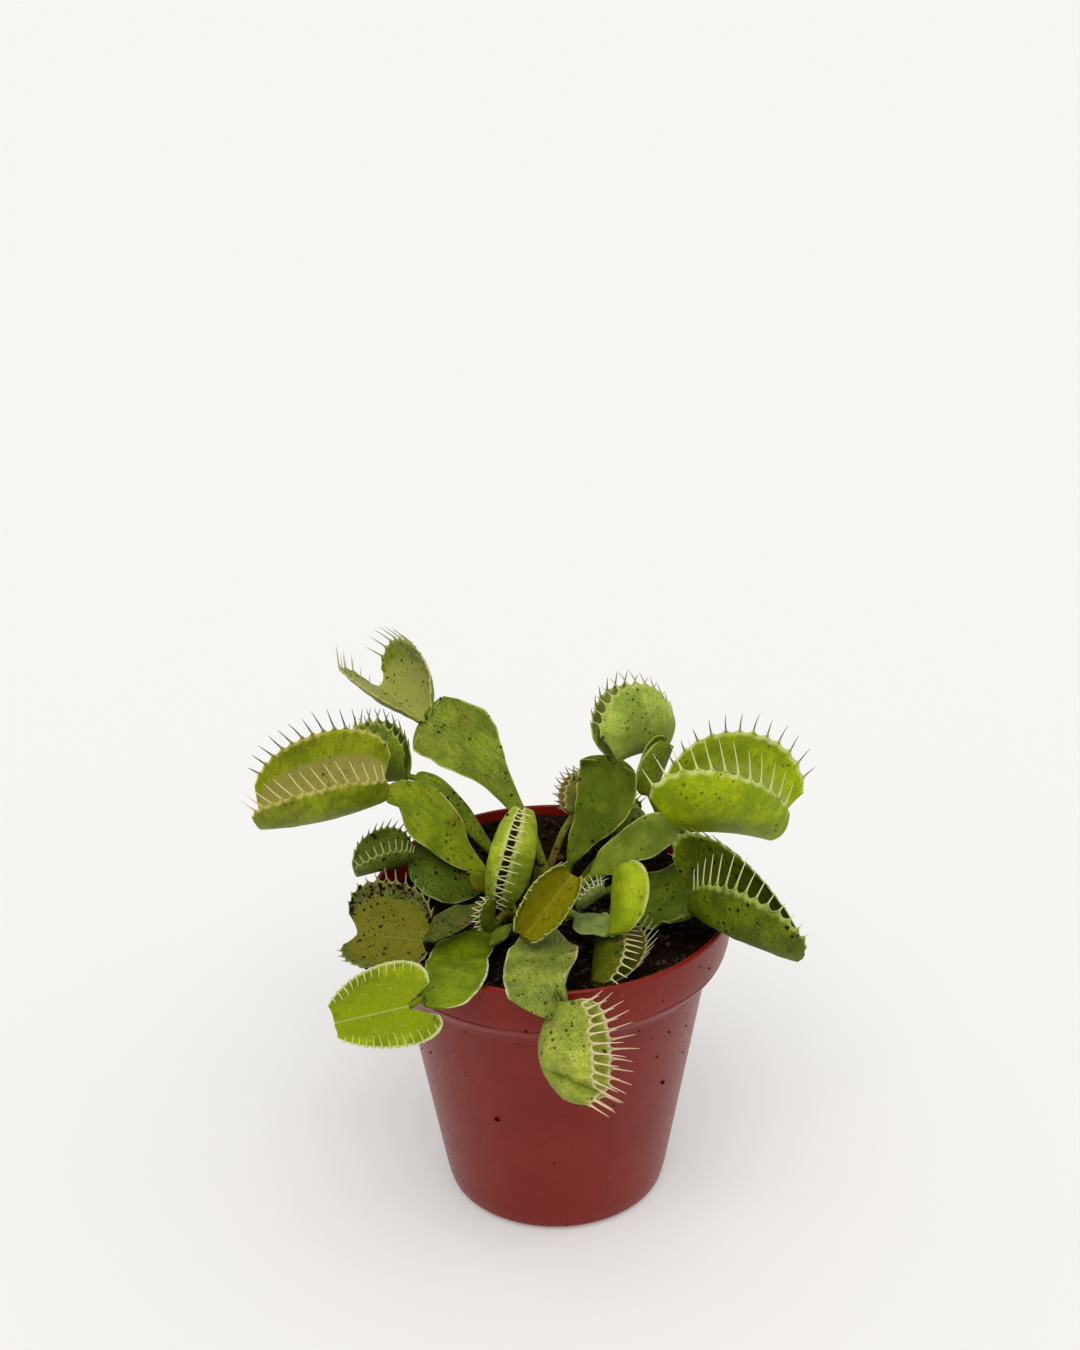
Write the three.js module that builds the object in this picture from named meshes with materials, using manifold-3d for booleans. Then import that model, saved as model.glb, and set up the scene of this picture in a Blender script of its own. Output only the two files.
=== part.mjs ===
// A potted venus flytrap: a thin nursery pot, its soil and the leaves of one crowded rosette.
// Millimetres, +Z up, +Y away from the viewer, origin at the middle of the pot's flat underside.
import * as THREE from "three";
import Module from "manifold-3d";

const wasm = await Module();
wasm.setup();

// ---- pot ------------------------------------------------------------------------------------
const RIM_DIAMETER = 85;
const POT_HEIGHT = 78.2;
const RIM_BAND_HEIGHT = 16.7; // from the lip down to the crease where the band meets the body
const CREASE_STEP = 0.6; // how far the crease stands out, and the height it takes
const BODY_TOP_RADIUS = 36.4; // under the band
const BODY_BASE_RADIUS = 26.6; // just above the rounded bottom corner
const FOOT_RADIUS = 23.5; // flat underside
const CORNER_HEIGHT = 4.2; // rounded bottom corner
const CORNER_FOOT = [2.2, 1.2]; // out and up from the flat underside to the corner's lower edge
// The band's flare: radius outside, height over the crease outside and inside.
const BAND = [[38.9, 2, 2.6], [40.5, 4, 4.4], [41.3, 6.5, 6.5]];
const LIP_CHAMFER = [0.3, 0.5];
const WALL = 1.1;
const FLOOR = 1.6;
const DRAIN_HOLES = 6;
const DRAIN_RADIUS = 3;
const DRAIN_RING_RADIUS = 15;
const DRAIN_TURN = 0.3; // radians, the first hole's place on the ring
const POT_SEGMENTS = 48;

// ---- soil -----------------------------------------------------------------------------------
const SOIL_GAP = 0.3; // all round, between soil and pot
const SOIL_TOP = 70.4; // in the middle, under the crown
const SOIL_SEGMENTS = 26;
const SOIL_RINGS = [0.35, 0.66, 0.88]; // shares of the top's radius
const BACK_RISE = { height: 5, from: 24, run: 14 }; // heaped up towards the back
const EDGE_RISE = { height: 1.2, from: 26, run: 12 }; // up to the pot's wall
const LUMPS = { height: 0.35, from: 12, run: 10 };
const PEG_DEPTH = 6; // how far a leaf's foot stands in the soil
const PEG_RADIUS = 1.1;
const HOLE_RADIUS = 1.7;

// ---- leaves ---------------------------------------------------------------------------------
const LEAF_THICKNESS = 0.8;
const STALK_RADIUS = [1.05, 0.75]; // at the foot, at the neck of the trap
const TOOTH_WIDTH = 1.2; // across a tooth's root
const TOOTH_RUN = [0.03, 0.94]; // the stretch of a lobe's edge with teeth: where it starts, its share
const TOOTH_SPREAD = [0.55, 0.45]; // pull straight out of the lobe, pull away from its middle
const TOOTH_TURN_IN = 0.35; // over the mouth, as a share of the length
const TOOTH_LENGTHS = [0.62, 0.38]; // share at the ends of the row, what the middle has more
const TOOTH_UNEVEN = [0.88, 0.24]; // shortest share, what the longest has more
const CORNER_ANGLE = 18; // degrees of a lobe's round edge left out at each end of its hinge
const HINGE_WIDTH = 1.2;
const TRAP_ROOT = 1.5; // how far a stalk runs on under the hinge of its trap

// One entry a leaf. stalk: the midrib from the soil to the near end of the trap. blade: the winged
// stalk, its share of the stalk's length, half widths from foot to neck on each side, the way
// its upper face looks at foot and neck, the fold at the midrib in degrees, how far the two
// round shoulders stand past the neck, the swell of its waved edge. trap: the far end of the
// hinge, the peak of each lobe, the teeth a lobe, their length and the bulge on each lobe, the
// share by which a lobe's edge runs past the hinge (flare), the hinge's arch, the power its round
// edge follows (round, lower is squarer), the angle left out at its ends (corner) and how far the
// teeth lean towards the hinge's far end (sweep).
const LEAVES = [
  {
    name: "leaf_high_left",
    colour: 0x8aa83c,
    stalk: [
      [-1, 16, 72], [-3.5, 16.5, 81], [-8, 19, 90], [-16, 24, 99], [-23.5, 27, 105.5], [-30, 29, 109],
    ],
    blade: {
      span: [0.2, 0.97], left: [1.2, 1.8, 3.4, 7, 8], right: [1.2, 1.8, 4.6, 10, 7.5],
      face: [[0.2, -0.9, 0.5], [0.2, -0.75, 0.65]], fold: 6, notch: 1.5, wave: 0.6,
    },
    trap: {
      end: [-41.5, 52.5, 106.5], peaks: [[-33.5, 44.5, 122.5], [-48.5, 38, 117]],
      teeth: 13, tooth: [5, 5], bow: [0.2, 0.08], flare: 0.16, arch: 0, round: 0.55, corner: 6,
    },
  },
  {
    name: "leaf_wide_left",
    colour: 0x8aa83c,
    stalk: [
      [-10, 12.5, 72], [-19.5, 10, 81.5], [-28, 10, 92.5], [-33, 10, 98.5], [-35.5, 10, 99.5],
      [-39.5, 10, 99],
    ],
    blade: {
      span: [0.24, 0.88], left: [1.6, 4, 6, 7, 3.5], right: [1.6, 3.5, 5.5, 6.5, 3.5],
      face: [[0.3, -0.7, 0.6], [0.3, -0.6, 0.7]], fold: 8, notch: 2.5, wave: 0.5,
    },
    trap: {
      end: [-67, 3, 96], peaks: [[-52.5, 15, 115], [-52.5, -6.5, 111.5]],
      teeth: 14, tooth: [6, 6], bow: [0.1, 0.16], flare: 0.2, arch: -1.5, round: 0.55, sweep: 0.6,
    },
  },
  {
    name: "leaf_back_left",
    colour: 0x7d9c3a,
    stalk: [[-6.5, 16.5, 72], [-14, 17, 79.5], [-21.5, 18, 90], [-27.5, 20, 96.5], [-34, 21, 98.5]],
    blade: {
      span: [0.3, 0.9], left: [1.2, 2, 2.6, 2.8, 2], right: [1.2, 2, 2.4, 2.4, 2],
      face: [[0.4, -0.6, 0.6], [0.3, -0.7, 0.6]], fold: 10, notch: 0, wave: 0.3,
    },
    trap: {
      end: [-48, 26.5, 94.5], peaks: [[-40.5, 31, 108.5], [-43, 28, 110]],
      teeth: 11, tooth: [3.2, 3.2], bow: [0.16, 0.16], flare: 0.12, arch: 0,
    },
  },
  {
    name: "leaf_dark_left",
    colour: 0x5f7a2c,
    stalk: [[-14, 10, 72], [-17.5, 8, 74.5], [-23, 7.5, 78.5], [-28.5, 7, 82], [-33, 7, 84]],
    blade: {
      span: [0.2, 0.95], left: [1.5, 6, 8.5, 8.5, 6], right: [1.5, 5, 7.5, 8.5, 6.5],
      face: [[0.2, -0.5, 0.8], [0.2, -0.5, 0.8]], fold: 8, notch: 1, wave: 0.5,
    },
    trap: {
      end: [-45.5, -1, 85], peaks: [[-39.5, 5.5, 93.5], [-38, -2.5, 91.5]],
      teeth: 11, tooth: [2.6, 2.6], bow: [0.12, 0.12], flare: 0.12, arch: 0,
    },
  },
  {
    name: "leaf_olive_left",
    colour: 0x6d6f22,
    stalk: [[-15.5, 5.5, 72], [-19, -9, 79], [-24, -20, 82.5], [-29, -28.5, 83.5]],
    blade: {
      span: [0.2, 0.92], left: [1.3, 2.2, 3, 3.2, 2], right: [1.3, 2.2, 3, 3.2, 2],
      face: [[0.1, -0.5, 0.8], [0.1, -0.5, 0.8]], fold: 8, notch: 0, wave: 0.3,
    },
    trap: {
      end: [-44, -25, 83.5], peaks: [[-36.5, -20.5, 95], [-39.5, -38.3, 82.5]],
      teeth: 12, tooth: [3.2, 1.8], bow: [0.12, 0.12], flare: 0.3, arch: 0, round: 0.5, corner: 8,
    },
  },
  {
    name: "leaf_bright_left",
    colour: 0x9bb822,
    stalk: [
      [-12, -0.5, 72], [-15, -11, 74.5], [-19.5, -24, 76.5], [-22.5, -37, 80.7], [-27, -45.5, 81],
      [-31.5, -48, 79.2],
    ],
    blade: {
      span: [0.1, 0.86], left: [1.4, 3.5, 5, 7.5, 9], right: [1.4, 5, 7.5, 7, 4],
      face: [[0, -0.45, 0.85], [-0.15, -0.45, 0.85]], fold: 6, notch: 2, wave: 0.5,
    },
    trap: {
      end: [-48.5, -42, 71], peaks: [[-36.5, -43.5, 87.5], [-31, -55.5, 74]],
      teeth: 14, tooth: [4.6, 4.6], bow: [0.1, 0.1], flare: 0.42, arch: 0,
    },
  },
  {
    name: "leaf_front_drooping",
    colour: 0xa0ab4a,
    stalk: [
      [-2, 4, 72], [-3.5, -9, 75], [-3.5, -20, 76], [-2.5, -33, 79], [-0.5, -43, 80.5], [1.5, -46, 78],
    ],
    blade: {
      span: [0.2, 0.9], left: [1.6, 6, 9, 7.5, 3], right: [1.6, 4.5, 7, 9, 10],
      face: [[0, -0.4, 0.9], [0, -0.7, 0.7]], fold: 4, notch: 6, wave: 0.6,
    },
    trap: {
      end: [2.4, -59, 62.1], peaks: [[11.2, -60, 73.4], [15, -52, 69.9]],
      teeth: 13, tooth: [6, 6], bow: [0.16, 0.1], flare: 0.1, arch: -5, round: 0.4, corner: 5,
    },
  },
  {
    name: "leaf_tall_right",
    colour: 0x839f3e,
    stalk: [[3, 14.5, 72], [4, 15, 76.5], [8, 16.5, 85], [12.5, 18, 93], [14.5, 19, 98.5], [15, 19, 103]],
    blade: {
      span: [0.2, 0.97], left: [1.6, 3.5, 5.5, 8, 8], right: [1.6, 4, 7, 8, 6.5],
      face: [[-0.3, -0.8, 0.5], [-0.3, -0.8, 0.5]], fold: 14, notch: 1.5, wave: 0.5,
    },
    trap: {
      end: [27.2, 27, 101.7], peaks: [[16.5, 30, 117], [19.5, 28.5, 118]],
      teeth: 12, tooth: [3.6, 3.6], bow: [0.2, 0.2], flare: 0.6, arch: 1,
    },
  },
  {
    name: "leaf_big_right",
    colour: 0x9bb822,
    stalk: [[6, 11.5, 72], [12, 10, 79.5], [18.5, 7, 86], [24.5, 4, 90.5], [30, 1, 94.5]],
    blade: {
      span: [0.2, 0.97], left: [1.6, 4, 5, 6, 3.5], right: [1.6, 4, 4.5, 4.5, 3.5],
      face: [[0, -0.6, 0.8], [0, -0.6, 0.8]], fold: 8, notch: 1, wave: 0.4,
    },
    trap: {
      end: [51.6, 12, 85.4], peaks: [[37, -3, 111.7], [46, 16, 111.4]],
      teeth: 12, tooth: [7, 6], bow: [0.22, 0.1], flare: 0.66, arch: 1, round: 0.6,
    },
  },
  {
    name: "leaf_young_closed",
    colour: 0xa4b840,
    stalk: [[3.5, 1.5, 72], [6, -9, 77], [10, -20, 81.2], [13.5, -25.6, 82.6]],
    blade: {
      span: [0.4, 0.9], left: [1.4, 3, 4, 3.8, 2], right: [1.4, 3, 4, 3.8, 2],
      face: [[0, -0.5, 0.8], [0, -0.5, 0.8]], fold: 8, notch: 0, wave: 0.3,
    },
    trap: {
      end: [14.5, -15.8, 93.9], peaks: [[21.5, -20.8, 91.9], [21.5, -22.8, 92.4]],
      teeth: 0, tooth: [0, 0], bow: [0.25, 0.25], flare: 0.12, arch: 0,
    },
  },
  {
    name: "leaf_low_right",
    colour: 0x6f8c30,
    stalk: [[9, 8, 72], [16, 5, 76], [22.5, -1, 77.5], [29.5, -7, 79], [33.5, -12, 80.5]],
    blade: {
      span: [0.2, 0.97], left: [2, 6.5, 11, 12, 8.5], right: [2, 5.5, 8.5, 9.5, 8.5],
      face: [[0, -0.5, 0.85], [0.2, -0.5, 0.85]], fold: 5, notch: 2, wave: 0.6,
    },
    trap: {
      end: [55.5, -31, 79.5], peaks: [[43, -33, 97.5], [35, -12, 100]],
      teeth: 14, tooth: [7, 2.5], bow: [0.28, 0.1], flare: 0.18, arch: 0,
    },
  },
  {
    name: "leaf_low_front",
    colour: 0x6f7a28,
    stalk: [[8, -0.5, 72], [11, -8, 75], [11, -12, 76]],
    trap: {
      end: [9, -32, 73.5], peaks: [[16.5, -29.5, 81.5], [21.5, -23, 78.5]],
      teeth: 12, tooth: [3.6, 3.6], bow: [0.14, 0.14], flare: 0.12, arch: 0,
    },
  },
  {
    name: "leaf_centre_upright",
    colour: 0x93b03c,
    stalk: [[-9.5, 4, 72], [-11, 3.5, 72.8], [-12.5, 3, 73.5]],
    trap: {
      end: [-6.7, 9.5, 95], peaks: [[-11.5, -5, 90], [-9.4, -4, 90.2]],
      teeth: 12, tooth: [4, 3], bow: [0.3, 0.42], flare: 0.12, arch: 0,
    },
  },
  {
    name: "leaf_centre_leaning",
    colour: 0x7a8a2c,
    stalk: [[-6.5, 0, 72], [-8, -10, 77.5], [-6.5, -19.5, 78.5]],
    trap: {
      end: [4.5, -9, 88.5], peaks: [[-5, -20.5, 92], [3, -24, 87]],
      teeth: 12, tooth: [3.4, 2], bow: [0.12, 0.12], flare: 0.12, arch: 0,
    },
  },
  {
    name: "leaf_small_left",
    colour: 0x5f7a2c,
    stalk: [[-9.5, -1.5, 72], [-11, -7, 77], [-14.5, -17, 79]],
    trap: {
      end: [-13.5, -16.5, 87], peaks: [[-17, -16.5, 83.5], [-17, -20, 85]],
      teeth: 7, tooth: [1.8, 1.8], bow: [0.16, 0.16], flare: 0.12, arch: 0,
    },
  },
  {
    name: "leaf_tip_left",
    colour: 0xb0ad55,
    stalk: [[-13, 8, 72], [-16, 4, 78], [-19.5, 3, 82.5]],
    blade: {
      span: [0.45, 0.99], left: [1.2, 1.8, 2.2, 1.6, 0.5], right: [1.2, 1.8, 2.2, 1.6, 0.5],
      face: [[0, -0.7, 0.7], [0, -0.7, 0.7]], fold: 10, notch: 0, wave: 0,
    },
  },
  {
    name: "leaf_tip_front",
    colour: 0x6f8c30,
    stalk: [[-9.5, -5, 72], [-11, -14, 77], [-14, -24, 79.5]],
    blade: {
      span: [0.4, 0.99], left: [1.2, 1.6, 1.9, 1.5, 0.5], right: [1.2, 1.6, 1.9, 1.5, 0.5],
      face: [[0, -0.4, 0.9], [0, -0.4, 0.9]], fold: 10, notch: 0, wave: 0,
    },
  },
  {
    name: "shoot_centre",
    colour: 0x8a8240,
    stalk: [[-4, 9, 72], [-3.5, 9, 76], [-2.5, 8.5, 81]],
    blade: {
      span: [0.5, 0.99], left: [1.2, 1.5, 1.6, 1.2, 0.5], right: [1.2, 1.5, 1.6, 1.2, 0.5],
      face: [[-0.5, -0.8, 0.3], [-0.5, -0.8, 0.3]], fold: 25, notch: 0, wave: 0,
    },
  },
  {
    name: "leaf_behind_tall",
    colour: 0x9aa548,
    stalk: [[-1.5, 20, 72], [0, 20, 75], [2.5, 21.5, 81.5], [5.5, 23, 86.5]],
    trap: {
      end: [9, 32.5, 92], peaks: [[2, 28, 91], [3.5, 24.5, 93]],
      teeth: 8, tooth: [2.4, 2.4], bow: [0.14, 0.14], flare: 0.12, arch: 0,
    },
  },
  {
    name: "leaf_between_right",
    colour: 0x6f8c30,
    stalk: [[8, 18, 72], [12, 19, 77], [15.5, 19, 82.5]],
    trap: {
      end: [22, 26.5, 83.5], peaks: [[18.5, 24, 89], [17, 20.5, 88.5]],
      teeth: 8, tooth: [3.2, 3.2], bow: [0.14, 0.14], flare: 0.12, arch: 0,
    },
  },
  {
    name: "leaf_back_right",
    colour: 0x7d9c3a,
    stalk: [[12.5, 20.5, 72], [20, 20, 78], [25.5, 18.5, 86.5], [23.5, 18, 94]],
    trap: {
      end: [28.5, 24, 104], peaks: [[21, 17.5, 102.5], [22, 21.5, 103.5]],
      teeth: 0, tooth: [0, 0], bow: [0.2, 0.2], flare: 0.12, arch: 0,
    },
  },
  {
    name: "leaf_small_centre",
    colour: 0x93b03c,
    stalk: [[6.5, 5.5, 72], [6.5, 2, 74], [6.5, -0.5, 75]],
    trap: {
      end: [12, 3, 77], peaks: [[9.5, 1.5, 80], [8.5, -0.5, 80]],
      teeth: 7, tooth: [2.4, 2.4], bow: [0.14, 0.14], flare: 0.12, arch: 0,
    },
  },
];

// ---- vectors --------------------------------------------------------------------------------
const vec = (p) => new THREE.Vector3(...p);
const plus = (a, b, share = 1) => a.clone().addScaledVector(b, share);
const minus = (a, b) => a.clone().sub(b);
const cross = (a, b) => a.clone().cross(b);
const unit = (a) => a.clone().normalize();
const mix = (a, b, share) => a.clone().lerp(b, share);
const along = (count, make) => Array.from({ length: count + 1 }, (_, i) => make(i / count, i));

function smoothStep(x) {
  const t = Math.min(Math.max(x, 0), 1);
  return t * t * (3 - 2 * t);
}

// A smooth run through evenly spaced values, read at a share of its length.
function runThrough(values, share) {
  const curve = new THREE.CatmullRomCurve3(
    values.map((v) => new THREE.Vector3(v, 0, 0)), false, "catmullrom", 0.5,
  );
  return curve.getPoint(share).x;
}

function curveThrough(points) {
  return new THREE.CatmullRomCurve3(points.map(vec), false, "catmullrom", 0.5);
}

// ---- solids ---------------------------------------------------------------------------------
function solid(points, faces) {
  const vertProperties = new Float32Array(points.flatMap((p) => [p.x, p.y, p.z]));
  const triVerts = new Uint32Array(faces.flat());
  return new wasm.Manifold(new wasm.Mesh({ numProp: 3, vertProperties, triVerts }));
}

// A closed sheet from columns of points that run side by side. Each point holds its share of the
// column's length and its two faces; neighbouring columns may hold different numbers of points.
// teeth: for an outer column, the tip that stands on the edge after the point of that number.
function sheet(columns, teeth = [new Map(), new Map()]) {
  const points = [];
  const ids = columns.map((column) =>
    column.map(({ upper, lower }) => [points.push(upper) - 1, points.push(lower) - 1]),
  );
  const faces = [];
  for (let c = 0; c < columns.length - 1; c++) {
    const [a, b] = [columns[c], columns[c + 1]];
    let i = 0;
    let j = 0;
    while (i < a.length - 1 || j < b.length - 1) {
      const stepA = j === b.length - 1 || (i < a.length - 1 && a[i + 1].share <= b[j + 1].share);
      const third = stepA ? ids[c][i + 1] : ids[c + 1][j + 1];
      faces.push([ids[c][i][0], third[0], ids[c + 1][j][0]]);
      faces.push([ids[c][i][1], ids[c + 1][j][1], third[1]]);
      if (stepA) i += 1;
      else j += 1;
    }
  }
  const last = columns.length - 1;
  const wall = (a, b, tip) => {
    if (!tip) return faces.push([a[0], b[1], b[0]], [a[0], a[1], b[1]]);
    const t = points.push(tip) - 1;
    return faces.push([a[0], a[1], t], [a[1], b[1], t], [b[1], b[0], t], [b[0], a[0], t]);
  };
  for (let i = 0; i < ids[0].length - 1; i++) wall(ids[0][i], ids[0][i + 1], teeth[0].get(i));
  for (let i = ids[last].length - 1; i > 0; i--)
    wall(ids[last][i], ids[last][i - 1], teeth[1].get(i - 1));
  for (let c = 0; c < last; c++) {
    wall(ids[c][ids[c].length - 1], ids[c + 1][ids[c + 1].length - 1]);
    wall(ids[c + 1][0], ids[c][0]);
  }
  return solid(points, faces);
}

function prism(x, y, from, to, radius, sides) {
  const points = [];
  for (const z of [from, to]) {
    for (let k = 0; k < sides; k++) {
      const angle = (2 * Math.PI * k) / sides;
      points.push(new THREE.Vector3(x + radius * Math.cos(angle), y + radius * Math.sin(angle), z));
    }
  }
  const faces = [];
  for (let k = 1; k < sides - 1; k++) faces.push([0, k + 1, k], [sides, sides + k, sides + k + 1]);
  for (let k = 0; k < sides; k++) {
    const next = (k + 1) % sides;
    faces.push([k, next, sides + next], [k, sides + next, sides + k]);
  }
  return solid(points, faces);
}

// ---- stalk and blade ------------------------------------------------------------------------
const PLAIN_STALK = { span: [0, 1], face: [[0, -0.6, 0.8], [0, -0.6, 0.8]], fold: 0, notch: 0, wave: 0 };

// Half width on one side of the midrib at a share of the stalk's length.
function halfWidth(leaf, side, u, stalkRadius) {
  if (!leaf.blade) return stalkRadius;
  const { span, left, right } = leaf.blade;
  const share = (u - span[0]) / (span[1] - span[0]);
  if (share < 0 || share > 1) return stalkRadius;
  return Math.max(runThrough(side < 0 ? left : right, share), stalkRadius);
}

// One row across the leaf: points from the left edge to the right, each with its two faces.
function leafRow(leaf, midrib, u, halfColumns) {
  const { span, face, fold, notch, wave } = leaf.blade || PLAIN_STALK;
  const share = Math.min(Math.max((u - span[0]) / (span[1] - span[0]), 0), 1);
  const middle = midrib.getPointAt(Math.max(u, 0));
  const behind = midrib.getPointAt(Math.max(u - 0.01, 0));
  const ahead = unit(minus(midrib.getPointAt(Math.min(u + 0.01, 1)), behind));
  const across = unit(cross(ahead, mix(vec(face[0]), vec(face[1]), share)));
  const up = cross(across, ahead);
  const radius = THREE.MathUtils.lerp(...STALK_RADIUS, u);
  const foldAngle = THREE.MathUtils.degToRad(fold);
  return along(2 * halfColumns, (c) => {
    const side = 2 * c - 1;
    const out = Math.abs(side);
    const width = halfWidth(leaf, side, u, radius) * side;
    const wide = smoothStep((Math.abs(width) / Math.max(out, 0.01) - 1.2) / 2);
    const swell = wave * out * out * Math.sin(share * 4 * Math.PI + (side < 0 ? 0.5 : 2.1));
    const lift = (Math.abs(width) * Math.sin(foldAngle) + swell) * wide;
    const push = wide * notch * smoothStep((share - 0.5) / 0.5) * 4 * out * (1 - out);
    const point = plus(plus(plus(middle, across, width * Math.cos(foldAngle)), up, lift), ahead, push);
    const rib = (radius - LEAF_THICKNESS / 2) * Math.max(0, 1 - Math.abs(width) / 1.6);
    const upper = plus(point, up, LEAF_THICKNESS / 2 + rib * (leaf.blade ? 1 - 0.7 * wide : 1));
    return { upper, lower: plus(point, up, -LEAF_THICKNESS / 2 - rib) };
  });
}

// The stalk from its foot in the soil to the trap, with its blade.
function stalkSolid(leaf) {
  const midrib = curveThrough(leaf.stalk);
  const blade = leaf.blade;
  const widest = blade ? Math.max(...blade.left, ...blade.right) : 0;
  const wide = widest > 3.5;
  const halfColumns = widest > 6.5 ? 3 : wide ? 2 : 1;
  const [from, to] = blade ? blade.span : [0, 0];
  const bladeShares = () => along(wide ? 9 : 5, (s) => from + (to - from) * s);
  const shares = blade ? [0.02, from * 0.5, ...bladeShares()] : along(4, (s) => 0.04 + 0.96 * s);
  if (blade && leaf.trap) shares.push(...[(to + 1) / 2, 1].filter((u) => u > to + 0.01));
  const rows = shares.map((u) => leafRow(leaf, midrib, u, halfColumns));
  const foot = vec(leaf.stalk[0]);
  const flat = along(2 * halfColumns, (c) => {
    const side = 2 * c - 1;
    const depth = Math.sqrt(1 - 0.75 * side * side) * PEG_RADIUS;
    const point = new THREE.Vector3(foot.x + side * PEG_RADIUS, foot.y, foot.z);
    return { upper: point.clone().setY(foot.y - depth), lower: point.clone().setY(foot.y + depth) };
  });
  const lowered = (dz) => flat.map(({ upper, lower }) => ({
    upper: upper.clone().setZ(foot.z + dz), lower: lower.clone().setZ(foot.z + dz),
  }));
  rows.unshift(lowered(-PEG_DEPTH), lowered(-0.6));
  if (leaf.trap) {
    const ahead = unit(minus(vec(leaf.trap.end), vec(leaf.stalk[leaf.stalk.length - 1])));
    const onward = (point) => plus(point, ahead, TRAP_ROOT);
    const tail = rows[rows.length - 1];
    rows.push(tail.map(({ upper, lower }) => ({ upper: onward(upper), lower: onward(lower) })));
  }
  const last = rows.length - 1;
  const columns = rows[0].map((_, c) => rows.map((row, i) => ({ ...row[c], share: i / last })));
  return sheet(columns.reverse());
}

// ---- trap -----------------------------------------------------------------------------------
// The frame of a trap: its hinge from start to end, and for each lobe the way it stands, its
// height, how far its peak leans along the hinge and which side is outside.
function trapFrame(leaf) {
  const start = vec(leaf.stalk[leaf.stalk.length - 1]);
  const end = vec(leaf.trap.end);
  const length = start.distanceTo(end);
  const ahead = unit(minus(end, start));
  const middle = mix(start, end, 0.5);
  const lobes = leaf.trap.peaks.map((peak) => {
    const toPeak = minus(vec(peak), middle);
    const lean = toPeak.dot(ahead);
    const rise = plus(toPeak, ahead, -lean);
    return { lean, height: rise.length(), up: unit(rise) };
  });
  const mouth = unit(plus(lobes[0].up, lobes[1].up));
  lobes.forEach((lobe, k) => {
    const other = lobes[1 - k];
    const outward = cross(ahead, lobe.up);
    lobe.outward = outward.dot(other.up) > 0 ? outward.negate() : outward;
    lobe.side = unit(plus(lobe.up, mouth, -lobe.up.dot(mouth)));
    lobe.bow = leaf.trap.bow[k];
    lobe.tooth = leaf.trap.tooth[k];
  });
  return { start, end, length, ahead, middle, mouth, lobes };
}

function lobePoint(frame, trap, lobe, share, out) {
  const corner = THREE.MathUtils.degToRad(trap.corner || CORNER_ANGLE);
  const angle = corner + (Math.PI - 2 * corner) * (1 - share);
  const arch = 4 * share * (1 - share) * trap.arch;
  const rise = lobe.height * Math.sin(angle) ** (trap.round || 0.75);
  const hinge = plus(mix(frame.start, frame.end, share), frame.mouth, arch);
  const reach = (frame.length / 2) * (1 + trap.flare) * Math.cos(angle);
  let edge = plus(frame.middle, frame.ahead, reach + (rise / lobe.height) * lobe.lean);
  edge = plus(plus(edge, lobe.up, rise), frame.mouth, arch * 0.5);
  const bulge = 4 * out * (1 - out) * rise * lobe.bow;
  const point = plus(mix(hinge, edge, out), lobe.outward, bulge);
  return plus(point, lobe.side, ((1 - out) * HINGE_WIDTH) / 2);
}

// A point of the trap's skin with its two faces, the outer one first. The surface runs from the
// edge of the first lobe over the hinge to the edge of the second.
function skinPoint(frame, trap, k, share, out) {
  const lobe = frame.lobes[k];
  const point = lobePoint(frame, trap, lobe, share, out);
  const [a, b] = [Math.max(share - 0.02, 0), Math.min(share + 0.02, 1)];
  const down = Math.max(out - 0.05, 0);
  const at = (s, o) => lobePoint(frame, trap, lobe, s, o);
  const normal = unit(cross(minus(at(b, out), at(a, out)), minus(at(share, down + 0.05), at(share, down))));
  if (normal.dot(lobe.outward) < 0) normal.negate();
  if (out === 0) normal.sub(frame.mouth).normalize();
  return {
    share, point,
    lower: plus(point, normal, LEAF_THICKNESS / 2),
    upper: plus(point, normal, -LEAF_THICKNESS / 2),
  };
}

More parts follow.
